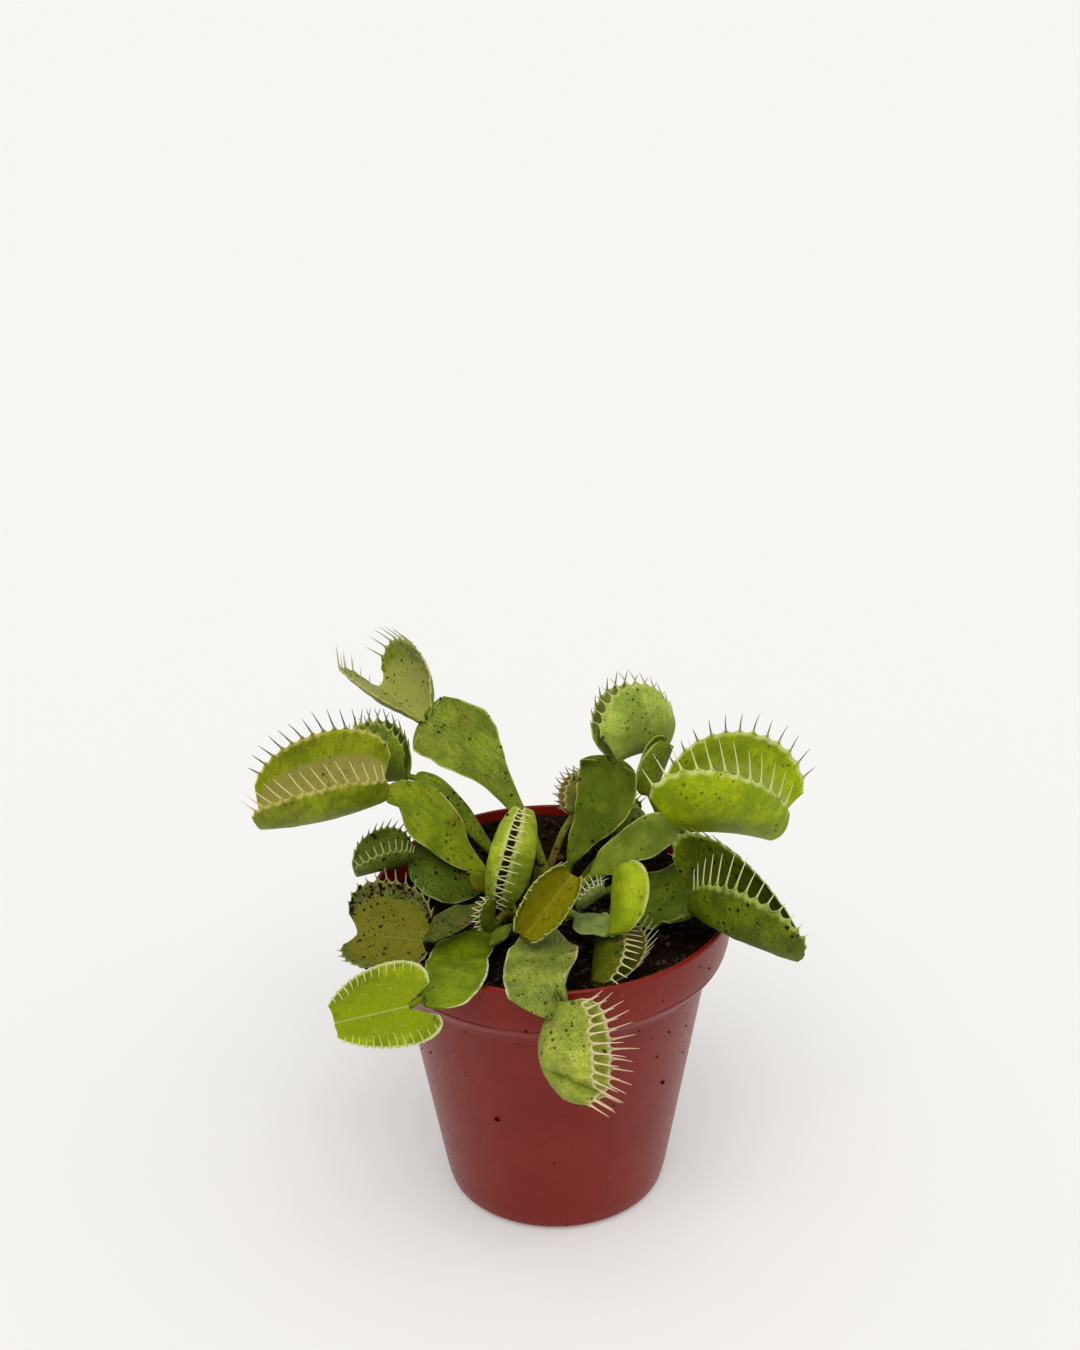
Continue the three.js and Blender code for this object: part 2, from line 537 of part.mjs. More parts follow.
// The edge of one lobe: two points for each tooth's root, and the tips of the teeth.
function lobeEdge(frame, trap, k) {
  const lobe = frame.lobes[k];
  const steps = 80;
  const edge = along(steps, (share) => lobePoint(frame, trap, lobe, share, 1));
  const lengths = [0];
  for (let i = 1; i <= steps; i++) lengths.push(lengths[i - 1] + edge[i].distanceTo(edge[i - 1]));
  const shareAt = (length) => {
    const i = Math.max(lengths.findIndex((l) => l >= length), 1);
    return (i - 1 + (length - lengths[i - 1]) / (lengths[i] - lengths[i - 1])) / steps;
  };
  const whole = lengths[steps];
  const centre = plus(frame.middle, lobe.up, lobe.height * 0.15);
  const points = [skinPoint(frame, trap, k, 0, 1)];
  const tips = new Map();
  for (let j = 0; j < trap.teeth; j++) {
    const place = ((j + 0.5) / trap.teeth) * TOOTH_RUN[1] + TOOTH_RUN[0];
    const half = Math.min(TOOTH_WIDTH / 2, (0.3 * whole) / trap.teeth);
    const root = skinPoint(frame, trap, k, shareAt(place * whole), 1);
    const outOfLobe = unit(minus(root.point, lobePoint(frame, trap, lobe, root.share, 0.875)));
    const away = unit(minus(root.point, centre)).multiplyScalar(TOOTH_SPREAD[1]);
    const spread = unit(plus(away, outOfLobe, TOOTH_SPREAD[0]));
    const ahead = unit(plus(spread, frame.ahead, trap.sweep || 0));
    const uneven = TOOTH_UNEVEN[0] + (TOOTH_UNEVEN[1] * ((j * 7919) % 13)) / 13;
    const middle = TOOTH_LENGTHS[0] + TOOTH_LENGTHS[1] * Math.sin(Math.PI * place);
    const long = lobe.tooth * middle * uneven;
    tips.set(points.length, plus(root.point, plus(ahead, lobe.outward, -TOOTH_TURN_IN), long));
    points.push(skinPoint(frame, trap, k, shareAt(place * whole - half), 1));
    points.push(skinPoint(frame, trap, k, shareAt(place * whole + half), 1));
  }
  if (!trap.teeth) points.push(...along(8, (s) => skinPoint(frame, trap, k, s, 1)).slice(1, -1));
  points.push(skinPoint(frame, trap, k, 1, 1));
  return { points, tips };
}

function trapSolid(leaf) {
  const frame = trapFrame(leaf);
  const big = frame.length > 12.5;
  const rows = big ? 8 : 5;
  const steps = big ? 3 : 2;
  const edges = [0, 1].map((k) => lobeEdge(frame, leaf.trap, k));
  const column = (k, out) => along(rows, (share) => skinPoint(frame, leaf.trap, k, share, out));
  const inner = (k) => Array.from({ length: steps }, (_, c) => column(k, c / steps));
  const columns = [edges[0].points, ...inner(0).reverse(), ...inner(1), edges[1].points];
  const teeth = [edges[0].tips, edges[1].tips];
  const side = cross(frame.ahead, minus(inner(1)[0][0].point, inner(0)[0][0].point));
  if (side.dot(frame.mouth) < 0) {
    columns.reverse();
    teeth.reverse();
  }
  return sheet(columns, teeth);
}

function leafSolid(leaf) {
  const stalk = stalkSolid(leaf);
  return leaf.trap ? stalk.add(trapSolid(leaf)) : stalk;
}

// ---- pot ------------------------------------------------------------------------------------
function latheSolid(profile, segments) {
  const geometry = new THREE.LatheGeometry(profile.map(([r, z]) => new THREE.Vector2(r, z)), segments);
  geometry.rotateX(Math.PI / 2);
  const points = [];
  const faces = [];
  const seen = new Map();
  const position = geometry.getAttribute("position");
  const index = Array.from(geometry.index.array);
  const place = (i) => {
    const p = new THREE.Vector3().fromBufferAttribute(position, i);
    const key = [p.x, p.y, p.z].map((v) => Math.round(v * 1e4)).join(" ");
    if (!seen.has(key)) seen.set(key, points.push(p) - 1);
    return seen.get(key);
  };
  for (let i = 0; i < index.length; i += 3) {
    const face = [place(index[i]), place(index[i + 1]), place(index[i + 2])];
    if (new Set(face).size === 3) faces.push(face);
  }
  return solid(points, faces);
}

const CREASE = POT_HEIGHT - RIM_BAND_HEIGHT;
const RIM_RADIUS = RIM_DIAMETER / 2;

// Outer wall from the underside up to the lip.
const POT_OUTSIDE = [
  [0, 0], [FOOT_RADIUS, 0], [FOOT_RADIUS + CORNER_FOOT[0], CORNER_FOOT[1]], [BODY_BASE_RADIUS, CORNER_HEIGHT],
  [BODY_TOP_RADIUS, CREASE - CREASE_STEP], [BODY_TOP_RADIUS + CREASE_STEP, CREASE],
  ...BAND.map(([radius, up]) => [radius, CREASE + up]),
  [RIM_RADIUS, POT_HEIGHT - LIP_CHAMFER[1]], [RIM_RADIUS - LIP_CHAMFER[0], POT_HEIGHT],
];
// Inner wall from the lip down to the floor.
const POT_INSIDE = [
  [RIM_RADIUS - WALL, POT_HEIGHT],
  ...[...BAND].reverse().map(([radius, , up]) => [radius - WALL, CREASE + up]),
  [BODY_TOP_RADIUS - WALL, CREASE - CREASE_STEP],
  [BODY_BASE_RADIUS - WALL, CORNER_HEIGHT], [FOOT_RADIUS, FLOOR], [0, FLOOR],
];

function potSolid() {
  let pot = latheSolid([...POT_OUTSIDE, ...POT_INSIDE], POT_SEGMENTS);
  for (let i = 0; i < DRAIN_HOLES; i++) {
    const angle = (2 * Math.PI * i) / DRAIN_HOLES + DRAIN_TURN;
    const x = DRAIN_RING_RADIUS * Math.cos(angle);
    const y = DRAIN_RING_RADIUS * Math.sin(angle);
    pot = pot.subtract(prism(x, y, -1, FLOOR + 1, DRAIN_RADIUS, 12));
  }
  return pot;
}

// ---- soil -----------------------------------------------------------------------------------
function soilHeight(x, y) {
  const radius = Math.hypot(x, y);
  const risen = ({ height, from, run }, way) => height * smoothStep((way - from) / run);
  const back = risen(BACK_RISE, y);
  const edge = risen(EDGE_RISE, radius);
  const lumps = risen(LUMPS, radius) * Math.sin(x * 0.42 + 1) * Math.sin(y * 0.37 + 2);
  return SOIL_TOP + back + edge + lumps;
}

function soilSolid() {
  const wall = POT_INSIDE.slice(1).reverse().map(([r, z]) => [r - SOIL_GAP, z]);
  const rings = wall.slice(1).map(([r, z], i) => [r, i ? z : FLOOR + SOIL_GAP]);
  const topRadius = BAND[BAND.length - 1][0] - WALL - SOIL_GAP;
  const points = [new THREE.Vector3(0, 0, FLOOR + SOIL_GAP)];
  const ring = (radius, heightAt) =>
    Array.from({ length: SOIL_SEGMENTS }, (_, k) => {
      const angle = (2 * Math.PI * k) / SOIL_SEGMENTS;
      const x = radius * Math.cos(angle);
      const y = radius * Math.sin(angle);
      return points.push(new THREE.Vector3(x, y, heightAt(x, y))) - 1;
    });
  const loops = rings.map(([r, z]) => ring(r, () => z));
  loops.push(ring(topRadius, soilHeight));
  for (const share of [...SOIL_RINGS].reverse()) loops.push(ring(topRadius * share, soilHeight));
  const centre = points.push(new THREE.Vector3(0, 0, soilHeight(0, 0))) - 1;
  const faces = [];
  for (let k = 0; k < SOIL_SEGMENTS; k++) {
    const next = (k + 1) % SOIL_SEGMENTS;
    faces.push([0, loops[0][next], loops[0][k]]);
    for (let i = 0; i < loops.length - 1; i++) {
      faces.push([loops[i][k], loops[i][next], loops[i + 1][next]]);
      faces.push([loops[i][k], loops[i + 1][next], loops[i + 1][k]]);
    }
    const last = loops[loops.length - 1];
    faces.push([centre, last[k], last[next]]);
  }
  let soil = solid(points, faces);
  for (const { stalk } of LEAVES) {
    const [x, y, z] = stalk[0];
    soil = soil.subtract(prism(x, y, z - PEG_DEPTH - SOIL_GAP, z + 6, HOLE_RADIUS, 6));
  }
  return soil;
}

// ---- meshes ---------------------------------------------------------------------------------
function meshOf(name, body, material) {
  const { numProp, vertProperties, triVerts } = body.getMesh();
  const position = new Float32Array((vertProperties.length / numProp) * 3);
  for (let i = 0; i * numProp < vertProperties.length; i++)
    position.set(vertProperties.subarray(i * numProp, i * numProp + 3), i * 3);
  const geometry = new THREE.BufferGeometry();
  geometry.setAttribute("position", new THREE.BufferAttribute(position, 3));
  geometry.setIndex(new THREE.BufferAttribute(new Uint32Array(triVerts), 1));
  geometry.computeVertexNormals();
  const mesh = new THREE.Mesh(geometry, material);
  mesh.name = name;
  return mesh;
}

const plastic = () => new THREE.MeshStandardMaterial({ color: 0x8a3a2e, roughness: 0.38, metalness: 0 });
const peat = () => new THREE.MeshStandardMaterial({ color: 0x2a201a, roughness: 0.95, metalness: 0 });
const leafSkin = (color) => new THREE.MeshStandardMaterial({ color, roughness: 0.5, metalness: 0 });

const plant = new THREE.Group();
plant.name = "potted_venus_flytrap";
plant.add(meshOf("pot", potSolid(), plastic()));
plant.add(meshOf("soil", soilSolid(), peat()));
for (const leaf of LEAVES) plant.add(meshOf(leaf.name, leafSolid(leaf), leafSkin(leaf.colour)));

export default plant;
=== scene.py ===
"""Looks of a potted venus flytrap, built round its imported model.

Shapes are worked out in millimetres and scaled to metres when a mesh is made. +Z is up and +Y points
away from the viewer. Each leaf repeats the sizes of its CAD node and is made finer from them, in one mesh.
"""
import math
import random
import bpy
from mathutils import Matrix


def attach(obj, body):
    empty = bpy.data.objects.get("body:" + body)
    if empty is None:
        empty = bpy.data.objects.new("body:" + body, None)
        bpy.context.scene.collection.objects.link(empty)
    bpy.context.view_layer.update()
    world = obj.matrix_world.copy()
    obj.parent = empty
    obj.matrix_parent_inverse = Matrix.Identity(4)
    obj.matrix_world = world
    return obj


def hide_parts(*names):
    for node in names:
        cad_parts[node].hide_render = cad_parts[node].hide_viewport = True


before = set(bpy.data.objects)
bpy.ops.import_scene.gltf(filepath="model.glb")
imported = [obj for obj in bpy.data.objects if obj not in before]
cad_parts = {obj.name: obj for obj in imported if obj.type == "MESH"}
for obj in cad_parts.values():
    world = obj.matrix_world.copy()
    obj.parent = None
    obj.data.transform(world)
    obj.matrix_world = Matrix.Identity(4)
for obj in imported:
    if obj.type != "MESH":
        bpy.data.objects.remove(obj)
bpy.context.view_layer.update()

from types import SimpleNamespace

import bpy
import numpy as np
from mathutils import Matrix, Vector, noise

MM = 0.001
SEED = 7
noise.seed_set(SEED)

# ---- camera ----
CAMERA_PLACE = (0.0, -0.5543, 0.4139)
CAMERA_RIGHT = (0.999870, -0.004163, -0.015550)
CAMERA_UP = (0.015763, 0.449152, 0.893316)
CAMERA_AHEAD = (-0.003265, 0.893445, -0.449160)
CAMERA_LENS = 73.8
CAMERA_SENSOR = 36

# ---- light and floor ----
KEY_LIGHT = dict(towards=(0.05, 0.45, -0.85), strength=1.6, spread=45, colour=(1.0, 0.985, 0.96))
FILL_LIGHT = dict(towards=(-0.7, 0.2, -0.7), strength=0.25, spread=60, colour=(1.0, 1.0, 1.0))
ROOM_COLOUR = (1.0, 0.995, 0.985, 1)
ROOM_LIGHT = 0.62
FLOOR_REACH = 4.0

# ---- sizes, in millimetres ----
RIM_RADIUS = 42.5
POT_HEIGHT = 78.2
CREASE_HEIGHT = 61.5
CREASE_DROP = 0.6
BODY_TOP_RADIUS = 36.4
BODY_BASE_RADIUS = 26.6
BAND_RADII = (38.9, 40.5, 41.3)
FOOT_RADIUS = 23.5
CORNER_HEIGHT = 4.2
WALL = 1.1
FLOOR = 1.6
DRAIN_HOLES = 6
DRAIN_RADIUS = 3
DRAIN_RING_RADIUS = 15
DRAIN_TURN = 0.3
SOIL_TOP = 70.4
SOIL_GAP = 0.3
BED_GAP = 0.5
CRUMB_GAP = 1.2
LEAF_THICKNESS = 0.8
EDGE_THICKNESS = 0.34
STALK_RADIUS = (1.05, 0.75)
FOOT_DEPTH = 5.5
HINGE_WIDTH = 1.2
KEEL = 0.55
KEEL_DROP = 0.25
SCALLOP_DEPTH = 0.75
RIM_THICKNESS = 0.18
HAIR_LENGTH = 1.9

# ---- shares and counts ----
CURVE_STEPS = 400
EDGE_STEPS = 200
ROWS_A_TOOTH = 7
ROWS_OF_A_PLAIN_EDGE = 49
TOOTHLESS_END = 0.03
TOOTHED = 1 - 2 * TOOTHLESS_END
BESIDE_HINGE = 0.06
CREASE_WIDTH = 0.05
SQUEEZE = 0.6
SOIL_CRUMBS = 2600
SOIL_FIBRES = 420
LEAF_CRUMBS = 46
SEED_STEP = 3.7

# One entry a leaf, as in its CAD node, apart from its look. A pair has a value for each lobe.
#   stalk  its midrib, from the soil to the trap
#   blade  span: the share of the stalk with wings. left, right: half widths along them, right as left where
#          it isn't given. face: the way the blade looks at foot and neck. fold: degrees that its halves
#          rise. notch: how far its shoulders reach past the neck. wave: the swell of its edge.
#   trap   end: the hinge's far end. peaks: tops of the lobes. teeth: how many a lobe has. tooth: the longest.
#          bow: the lobes' bulge. flare: how much longer than the hinge the edge is. arch: the hinge's bow
#          towards the mouth. round: the outline, fuller the less it is. corner: degrees left off the
#          outline at each end. sweep: how far the teeth point ahead.
USUAL_BLADE = dict(span=(0.2, 0.97), right=None, fold=8, notch=0, wave=0.3)
USUAL_TRAP = dict(teeth=12, tooth=0, bow=0.14, flare=0.12, arch=0, round=0.75, corner=18, sweep=0)
# How a leaf looks, where it isn't the usual:
#   veins    how strongly the veins streak it, from 0 to 1
#   crumbs   how many times the usual number of crumbs it holds
#   caught   crumbs caught along the trap's upper edge
#   crumple  depth of the uneven folds in the lobes
#   crease   a fold across the lobes: its place along the hinge, from 0 to 1, and its depth
#   dip      how deep the edge dips between the teeth, 1 being the usual depth
#   turn     degrees that the teeth turn in over the mouth
#   lean     how far the teeth lean along the hinge, away from the stalk
#   fade     how much shorter the teeth grow towards the trap's far end
#   dusk     how dark the teeth are, from 0 to 1
#   cream    the colour of the teeth
#   hairs    whether trigger hairs stand inside
USUAL_LOOK = dict(veins=0.5, crumbs=1, caught=0, crumple=0.25, crease=(0, 0), dip=1, turn=(22, 22),
                  lean=(0, 0), fade=(0, 0), dusk=(0, 0), cream="d9d6a4", hairs=False)


def look(colours, blush, peat, **own):
    """Colours of the blade, the trap's outside, its inside and the pale edge; blush and peat from 0 to 1."""
    shades = dict(zip(("blade", "outer", "inner", "edge"), colours.split()))
    return SimpleNamespace(**USUAL_LOOK | shades | own, blush=blush, peat=peat)


LEAVES = {}
LEAVES["leaf_high_left"] = dict(
    stalk=[(-1, 16, 72), (-3.5, 16.5, 81), (-8, 19, 90), (-16, 24, 99), (-23.5, 27, 105.5), (-30, 29, 109)],
    blade=dict(left=(1.2, 1.8, 3.4, 7, 8), right=(1.2, 1.8, 4.6, 10, 7.5),
               face=[(0.2, -0.9, 0.5), (0.2, -0.75, 0.65)], fold=6, notch=1.5, wave=0.6),
    trap=dict(end=(-41.5, 52.5, 106.5), peaks=[(-33.5, 44.5, 122.5), (-48.5, 38, 117)], teeth=13, tooth=5,
              bow=(0.2, 0.08), flare=0.16, round=0.55, corner=6),
    look=look("78862a 8a9538 9fa348 b9b868", 0.15, 0.5, turn=(43, 43), dusk=(0.7, 0.5), hairs=True),
)
LEAVES["leaf_wide_left"] = dict(
    stalk=[(-10, 12.5, 72), (-19.5, 10, 81.5), (-28, 10, 92.5), (-33, 10, 98.5), (-35.5, 10, 99.5),
           (-39.5, 10, 99)],
    blade=dict(span=(0.24, 0.88), left=(1.6, 4, 6, 7, 3.5), right=(1.6, 3.5, 5.5, 6.5, 3.5),
               face=[(0.3, -0.7, 0.6), (0.3, -0.6, 0.7)], notch=2.5, wave=0.5),
    trap=dict(end=(-67, 3, 96), peaks=[(-52.5, 15, 115), (-52.5, -6.5, 111.5)], teeth=14, tooth=6,
              bow=(0.1, 0.16), flare=0.2, arch=-1.5, round=0.55, sweep=0.6),
    look=look("7e8c1c 88931c 968f46 bdb35e", 0.15, 0.25, dusk=(1, 0), hairs=True),
)
LEAVES["leaf_back_left"] = dict(
    stalk=[(-6.5, 16.5, 72), (-14, 17, 79.5), (-21.5, 18, 90), (-27.5, 20, 96.5), (-34, 21, 98.5)],
    blade=dict(span=(0.3, 0.9), left=(1.2, 2, 2.6, 2.8, 2), right=(1.2, 2, 2.4, 2.4, 2),
               face=[(0.4, -0.6, 0.6), (0.3, -0.7, 0.6)], fold=10),
    trap=dict(end=(-48, 26.5, 94.5), peaks=[(-40.5, 31, 108.5), (-43, 28, 110)], teeth=11, tooth=3.2,
              bow=0.16),
    look=look("6a7a1c 66761a 5c661a a3ac52", 0.1, 0.6, dusk=(0.8, 0.8)),
)
LEAVES["leaf_dark_left"] = dict(
    stalk=[(-14, 10, 72), (-17.5, 8, 74.5), (-23, 7.5, 78.5), (-28.5, 7, 82), (-33, 7, 84)],
    blade=dict(span=(0.2, 0.95), left=(1.5, 6, 8.5, 8.5, 6), right=(1.5, 5, 7.5, 8.5, 6.5),
               face=[(0.2, -0.5, 0.8)] * 2, notch=1, wave=0.5),
    trap=dict(end=(-45.5, -1, 85), peaks=[(-39.5, 5.5, 93.5), (-38, -2.5, 91.5)], teeth=11, tooth=2.6,
              bow=0.12),
    look=look("526418 728030 687426 8f9a50", 0.05, 0.75, dusk=(0.7, 0.3), crumbs=2, caught=30),
)
LEAVES["leaf_olive_left"] = dict(
    stalk=[(-15.5, 5.5, 72), (-19, -9, 79), (-24, -20, 82.5), (-29, -28.5, 83.5)],
    blade=dict(span=(0.2, 0.92), left=(1.3, 2.2, 3, 3.2, 2), face=[(0.1, -0.5, 0.8)] * 2),
    trap=dict(end=(-44, -25, 83.5), peaks=[(-36.5, -20.5, 95), (-39.5, -38.3, 82.5)], tooth=(3.2, 1.8),
              bow=0.12, flare=0.3, round=0.5, corner=8),
    look=look("4c5a1a 626a34 686616 82803e", 0.2, 0.6, fade=(0.7, 0), dusk=(0.6, 0.9), crumple=0.6,
              crumbs=4, caught=260),
)
LEAVES["leaf_bright_left"] = dict(
    stalk=[(-12, -0.5, 72), (-15, -11, 74.5), (-19.5, -24, 76.5), (-22.5, -37, 80.7), (-27, -45.5, 81),
           (-31.5, -48, 79.2)],
    blade=dict(span=(0.1, 0.86), left=(1.4, 3.5, 5, 7.5, 9), right=(1.4, 5, 7.5, 7, 4),
               face=[(0, -0.45, 0.85), (-0.15, -0.45, 0.85)], fold=6, notch=2, wave=0.5),
    trap=dict(end=(-48.5, -42, 71), peaks=[(-36.5, -43.5, 87.5), (-31, -55.5, 74)], teeth=14, tooth=4.6,
              bow=0.1, flare=0.42),
    look=look("6c7c0e 8d9b08 82900a cfd292", 0.0, 0.1, turn=(115, 115), lean=(-0.7, -0.7), fade=(0, 0.35),
              dip=0.25, veins=0.3, hairs=True),
)
LEAVES["leaf_front_drooping"] = dict(
    stalk=[(-2, 4, 72), (-3.5, -9, 75), (-3.5, -20, 76), (-2.5, -33, 79), (-0.5, -43, 80.5), (1.5, -46, 78)],
    blade=dict(span=(0.2, 0.9), left=(1.6, 6, 9, 7.5, 3), right=(1.6, 4.5, 7, 9, 10),
               face=[(0, -0.4, 0.9), (0, -0.7, 0.7)], fold=4, notch=6, wave=0.6),
    trap=dict(end=(2.4, -59, 62.1), peaks=[(11.2, -60, 73.4), (15, -52, 69.9)], teeth=13, tooth=6,
              bow=(0.16, 0.1), flare=0.1, arch=-5, round=0.4, corner=5),
    look=look("8a9644 a2aa4a 8f9444 cfbe92", 0.15, 0.45, cream="dcbca2", crumple=1.3, crease=(0.68, 2.2)),
)
LEAVES["leaf_tall_right"] = dict(
    stalk=[(3, 14.5, 72), (4, 15, 76.5), (8, 16.5, 85), (12.5, 18, 93), (14.5, 19, 98.5), (15, 19, 103)],
    blade=dict(left=(1.6, 3.5, 5.5, 8, 8), right=(1.6, 4, 7, 8, 6.5), face=[(-0.3, -0.8, 0.5)] * 2, fold=14,
               notch=1.5, wave=0.5),
    trap=dict(end=(27.2, 27, 101.7), peaks=[(16.5, 30, 117), (19.5, 28.5, 118)], tooth=3.6, bow=0.2,
              flare=0.6, arch=1),
    look=look("5e7014 9cab4e 6c7830 b8bb66", 0.1, 0.4, dusk=(0.8, 0.5), veins=0.35),
)
LEAVES["leaf_big_right"] = dict(
    stalk=[(6, 11.5, 72), (12, 10, 79.5), (18.5, 7, 86), (24.5, 4, 90.5), (30, 1, 94.5)],
    blade=dict(left=(1.6, 4, 5, 6, 3.5), right=(1.6, 4, 4.5, 4.5, 3.5), face=[(0, -0.6, 0.8)] * 2, notch=1,
               wave=0.4),
    trap=dict(end=(51.6, 12, 85.4), peaks=[(37, -3, 111.7), (46, 16, 111.4)], tooth=(7, 6), bow=(0.22, 0.1),
              flare=0.66, arch=1, round=0.6),
    look=look("798830 96a510 96a338 c9cf7c", 0.0, 0.25, lean=(0.15, -0.55), dusk=(0.15, 0.9), veins=0.2,
              hairs=True),
)
LEAVES["leaf_young_closed"] = dict(
    stalk=[(3.5, 1.5, 72), (6, -9, 77), (10, -20, 81.2), (13.5, -25.6, 82.6)],
    blade=dict(span=(0.4, 0.9), left=(1.4, 3, 4, 3.8, 2), face=[(0, -0.5, 0.8)] * 2),
    trap=dict(end=(14.5, -15.8, 93.9), peaks=[(21.5, -20.8, 91.9), (21.5, -22.8, 92.4)], teeth=0, bow=0.25),
    look=look("7f9050 8c9a14 8a9812 c8ce78", 0.0, 0.05, veins=0.25),
)
LEAVES["leaf_low_right"] = dict(
    stalk=[(9, 8, 72), (16, 5, 76), (22.5, -1, 77.5), (29.5, -7, 79), (33.5, -12, 80.5)],
    blade=dict(left=(2, 6.5, 11, 12, 8.5), right=(2, 5.5, 8.5, 9.5, 8.5),
               face=[(0, -0.5, 0.85), (0.2, -0.5, 0.85)], fold=5, notch=2, wave=0.6),
    trap=dict(end=(55.5, -31, 79.5), peaks=[(43, -33, 97.5), (35, -12, 100)], teeth=14, tooth=(7, 2.5),
              bow=(0.28, 0.1), flare=0.18),
    look=look("526406 5e6c0e 505818 9ca850", 0.06, 0.6, fade=(0.72, 0), dusk=(0, 0.9), crumbs=2, hairs=True),
)
LEAVES["leaf_low_front"] = dict(
    stalk=[(8, -0.5, 72), (11, -8, 75), (11, -12, 76)],
    trap=dict(end=(9, -32, 73.5), peaks=[(16.5, -29.5, 81.5), (21.5, -23, 78.5)], tooth=3.6),
    look=look("5e6214 5c600e 545812 b2ad6c", 0.3, 0.4),
)
LEAVES["leaf_centre_upright"] = dict(
    stalk=[(-9.5, 4, 72), (-11, 3.5, 72.8), (-12.5, 3, 73.5)],
    trap=dict(end=(-6.7, 9.5, 95), peaks=[(-11.5, -5, 90), (-9.4, -4, 90.2)], tooth=(4, 3), bow=(0.3, 0.42)),
    look=look("96a430 aeba3a 666e12 c3c578", 0.05, 0.3, turn=(75, 30), dip=0.25),
)
LEAVES["leaf_centre_leaning"] = dict(
    stalk=[(-6.5, 0, 72), (-8, -10, 77.5), (-6.5, -19.5, 78.5)],
    trap=dict(end=(4.5, -9, 88.5), peaks=[(-5, -20.5, 92), (3, -24, 87)], tooth=(3.4, 2), bow=0.12),
    look=look("7a8614 7c8210 8a820e 9eaa48", 0.12, 0.35),
)
LEAVES["leaf_small_left"] = dict(
    stalk=[(-9.5, -1.5, 72), (-11, -7, 77), (-14.5, -17, 79)],
    trap=dict(end=(-13.5, -16.5, 87), peaks=[(-17, -16.5, 83.5), (-17, -20, 85)], teeth=7, tooth=1.8,
              bow=0.16),
    look=look("565c1c 585e18 585c18 a6a860", 0.2, 0.6),
)
LEAVES["leaf_tip_left"] = dict(
    stalk=[(-13, 8, 72), (-16, 4, 78), (-19.5, 3, 82.5)],
    blade=dict(span=(0.45, 0.99), left=(1.2, 1.8, 2.2, 1.6, 0.5), face=[(0, -0.7, 0.7)] * 2, fold=10,
               wave=0),
    look=look("8f8c22 8f8c22 8f8c22 b9a878", 0.4, 0.3),
)
LEAVES["leaf_tip_front"] = dict(
    stalk=[(-9.5, -5, 72), (-11, -14, 77), (-14, -24, 79.5)],
    blade=dict(span=(0.4, 0.99), left=(1.2, 1.6, 1.9, 1.5, 0.5), face=[(0, -0.4, 0.9)] * 2, fold=10, wave=0),
    look=look("6c7a24 6c7a24 6c7a24 b4b87c", 0.1, 0.3),
)
LEAVES["shoot_centre"] = dict(
    stalk=[(-4, 9, 72), (-3.5, 9, 76), (-2.5, 8.5, 81)],
    blade=dict(span=(0.5, 0.99), left=(1.2, 1.5, 1.6, 1.2, 0.5), face=[(-0.5, -0.8, 0.3)] * 2, fold=25,
               wave=0),
    look=look("7c7634 7c7634 7c7634 a49a68", 0.4, 0.3),
)
LEAVES["leaf_behind_tall"] = dict(
    stalk=[(-1.5, 20, 72), (0, 20, 75), (2.5, 21.5, 81.5), (5.5, 23, 86.5)],
    trap=dict(end=(9, 32.5, 92), peaks=[(2, 28, 91), (3.5, 24.5, 93)], teeth=8, tooth=2.4),
    look=look("7c7c34 80803a 746a34 b9a468", 0.5, 0.6, dusk=(0.8, 0.8)),
)
LEAVES["leaf_between_right"] = dict(
    stalk=[(8, 18, 72), (12, 19, 77), (15.5, 19, 82.5)],
    trap=dict(end=(22, 26.5, 83.5), peaks=[(18.5, 24, 89), (17, 20.5, 88.5)], teeth=8, tooth=3.2),
    look=look("66781a 728020 646820 b0b468", 0.1, 0.5),
)
LEAVES["leaf_back_right"] = dict(
    stalk=[(12.5, 20.5, 72), (20, 20, 78), (25.5, 18.5, 86.5), (23.5, 18, 94)],
    trap=dict(end=(28.5, 24, 104), peaks=[(21, 17.5, 102.5), (22, 21.5, 103.5)], teeth=0, bow=0.2),
    look=look("6c7a1c 747f1a 6c7428 a0aa54", 0.1, 0.4),
)
LEAVES["leaf_small_centre"] = dict(
    stalk=[(6.5, 5.5, 72), (6.5, 2, 74), (6.5, -0.5, 75)],
    trap=dict(end=(12, 3, 77), peaks=[(9.5, 1.5, 80), (8.5, -0.5, 80)], teeth=7, tooth=2.4),
    look=look("7d8c54 7f8c50 7d8a50 bcc294", 0.05, 0.25),
)

# Peat crumbs stuck to the pot: degrees round it from +X, height and size in millimetres.
POT_CRUMBS = [
    (-115, 35, 2.2), (-91, 23, 0.9), (-98, 29, 0.6), (-40, 39, 1.6), (-32, 71, 1.0), (-26, 43, 1.0),
    (-42, 55, 1.0), (-99, 67, 1.3), (-113, 75, 0.8), (-85, 2.5, 0.7), (-132, 52, 0.8), (-136, 50, 0.6),
    (-149, 46, 0.8), (-160, 43, 0.8), (-58, 60, 0.6), (-38, 74, 0.8), (-39, 24, 0.6), (-66, 39, 0.8),
    (-51, 56, 0.7), (-47, 49, 1.0), (-35, 60, 0.8), (-44, 33, 0.7), (-29, 52, 0.9), (-54, 70, 0.7),
    (-124, 60, 0.9), (-139, 58, 0.6), (-127, 47, 0.7), (30, 50, 1.1), (75, 30, 0.9), (110, 62, 1.2),
    (150, 20, 0.8), (178, 55, 0.9),
]


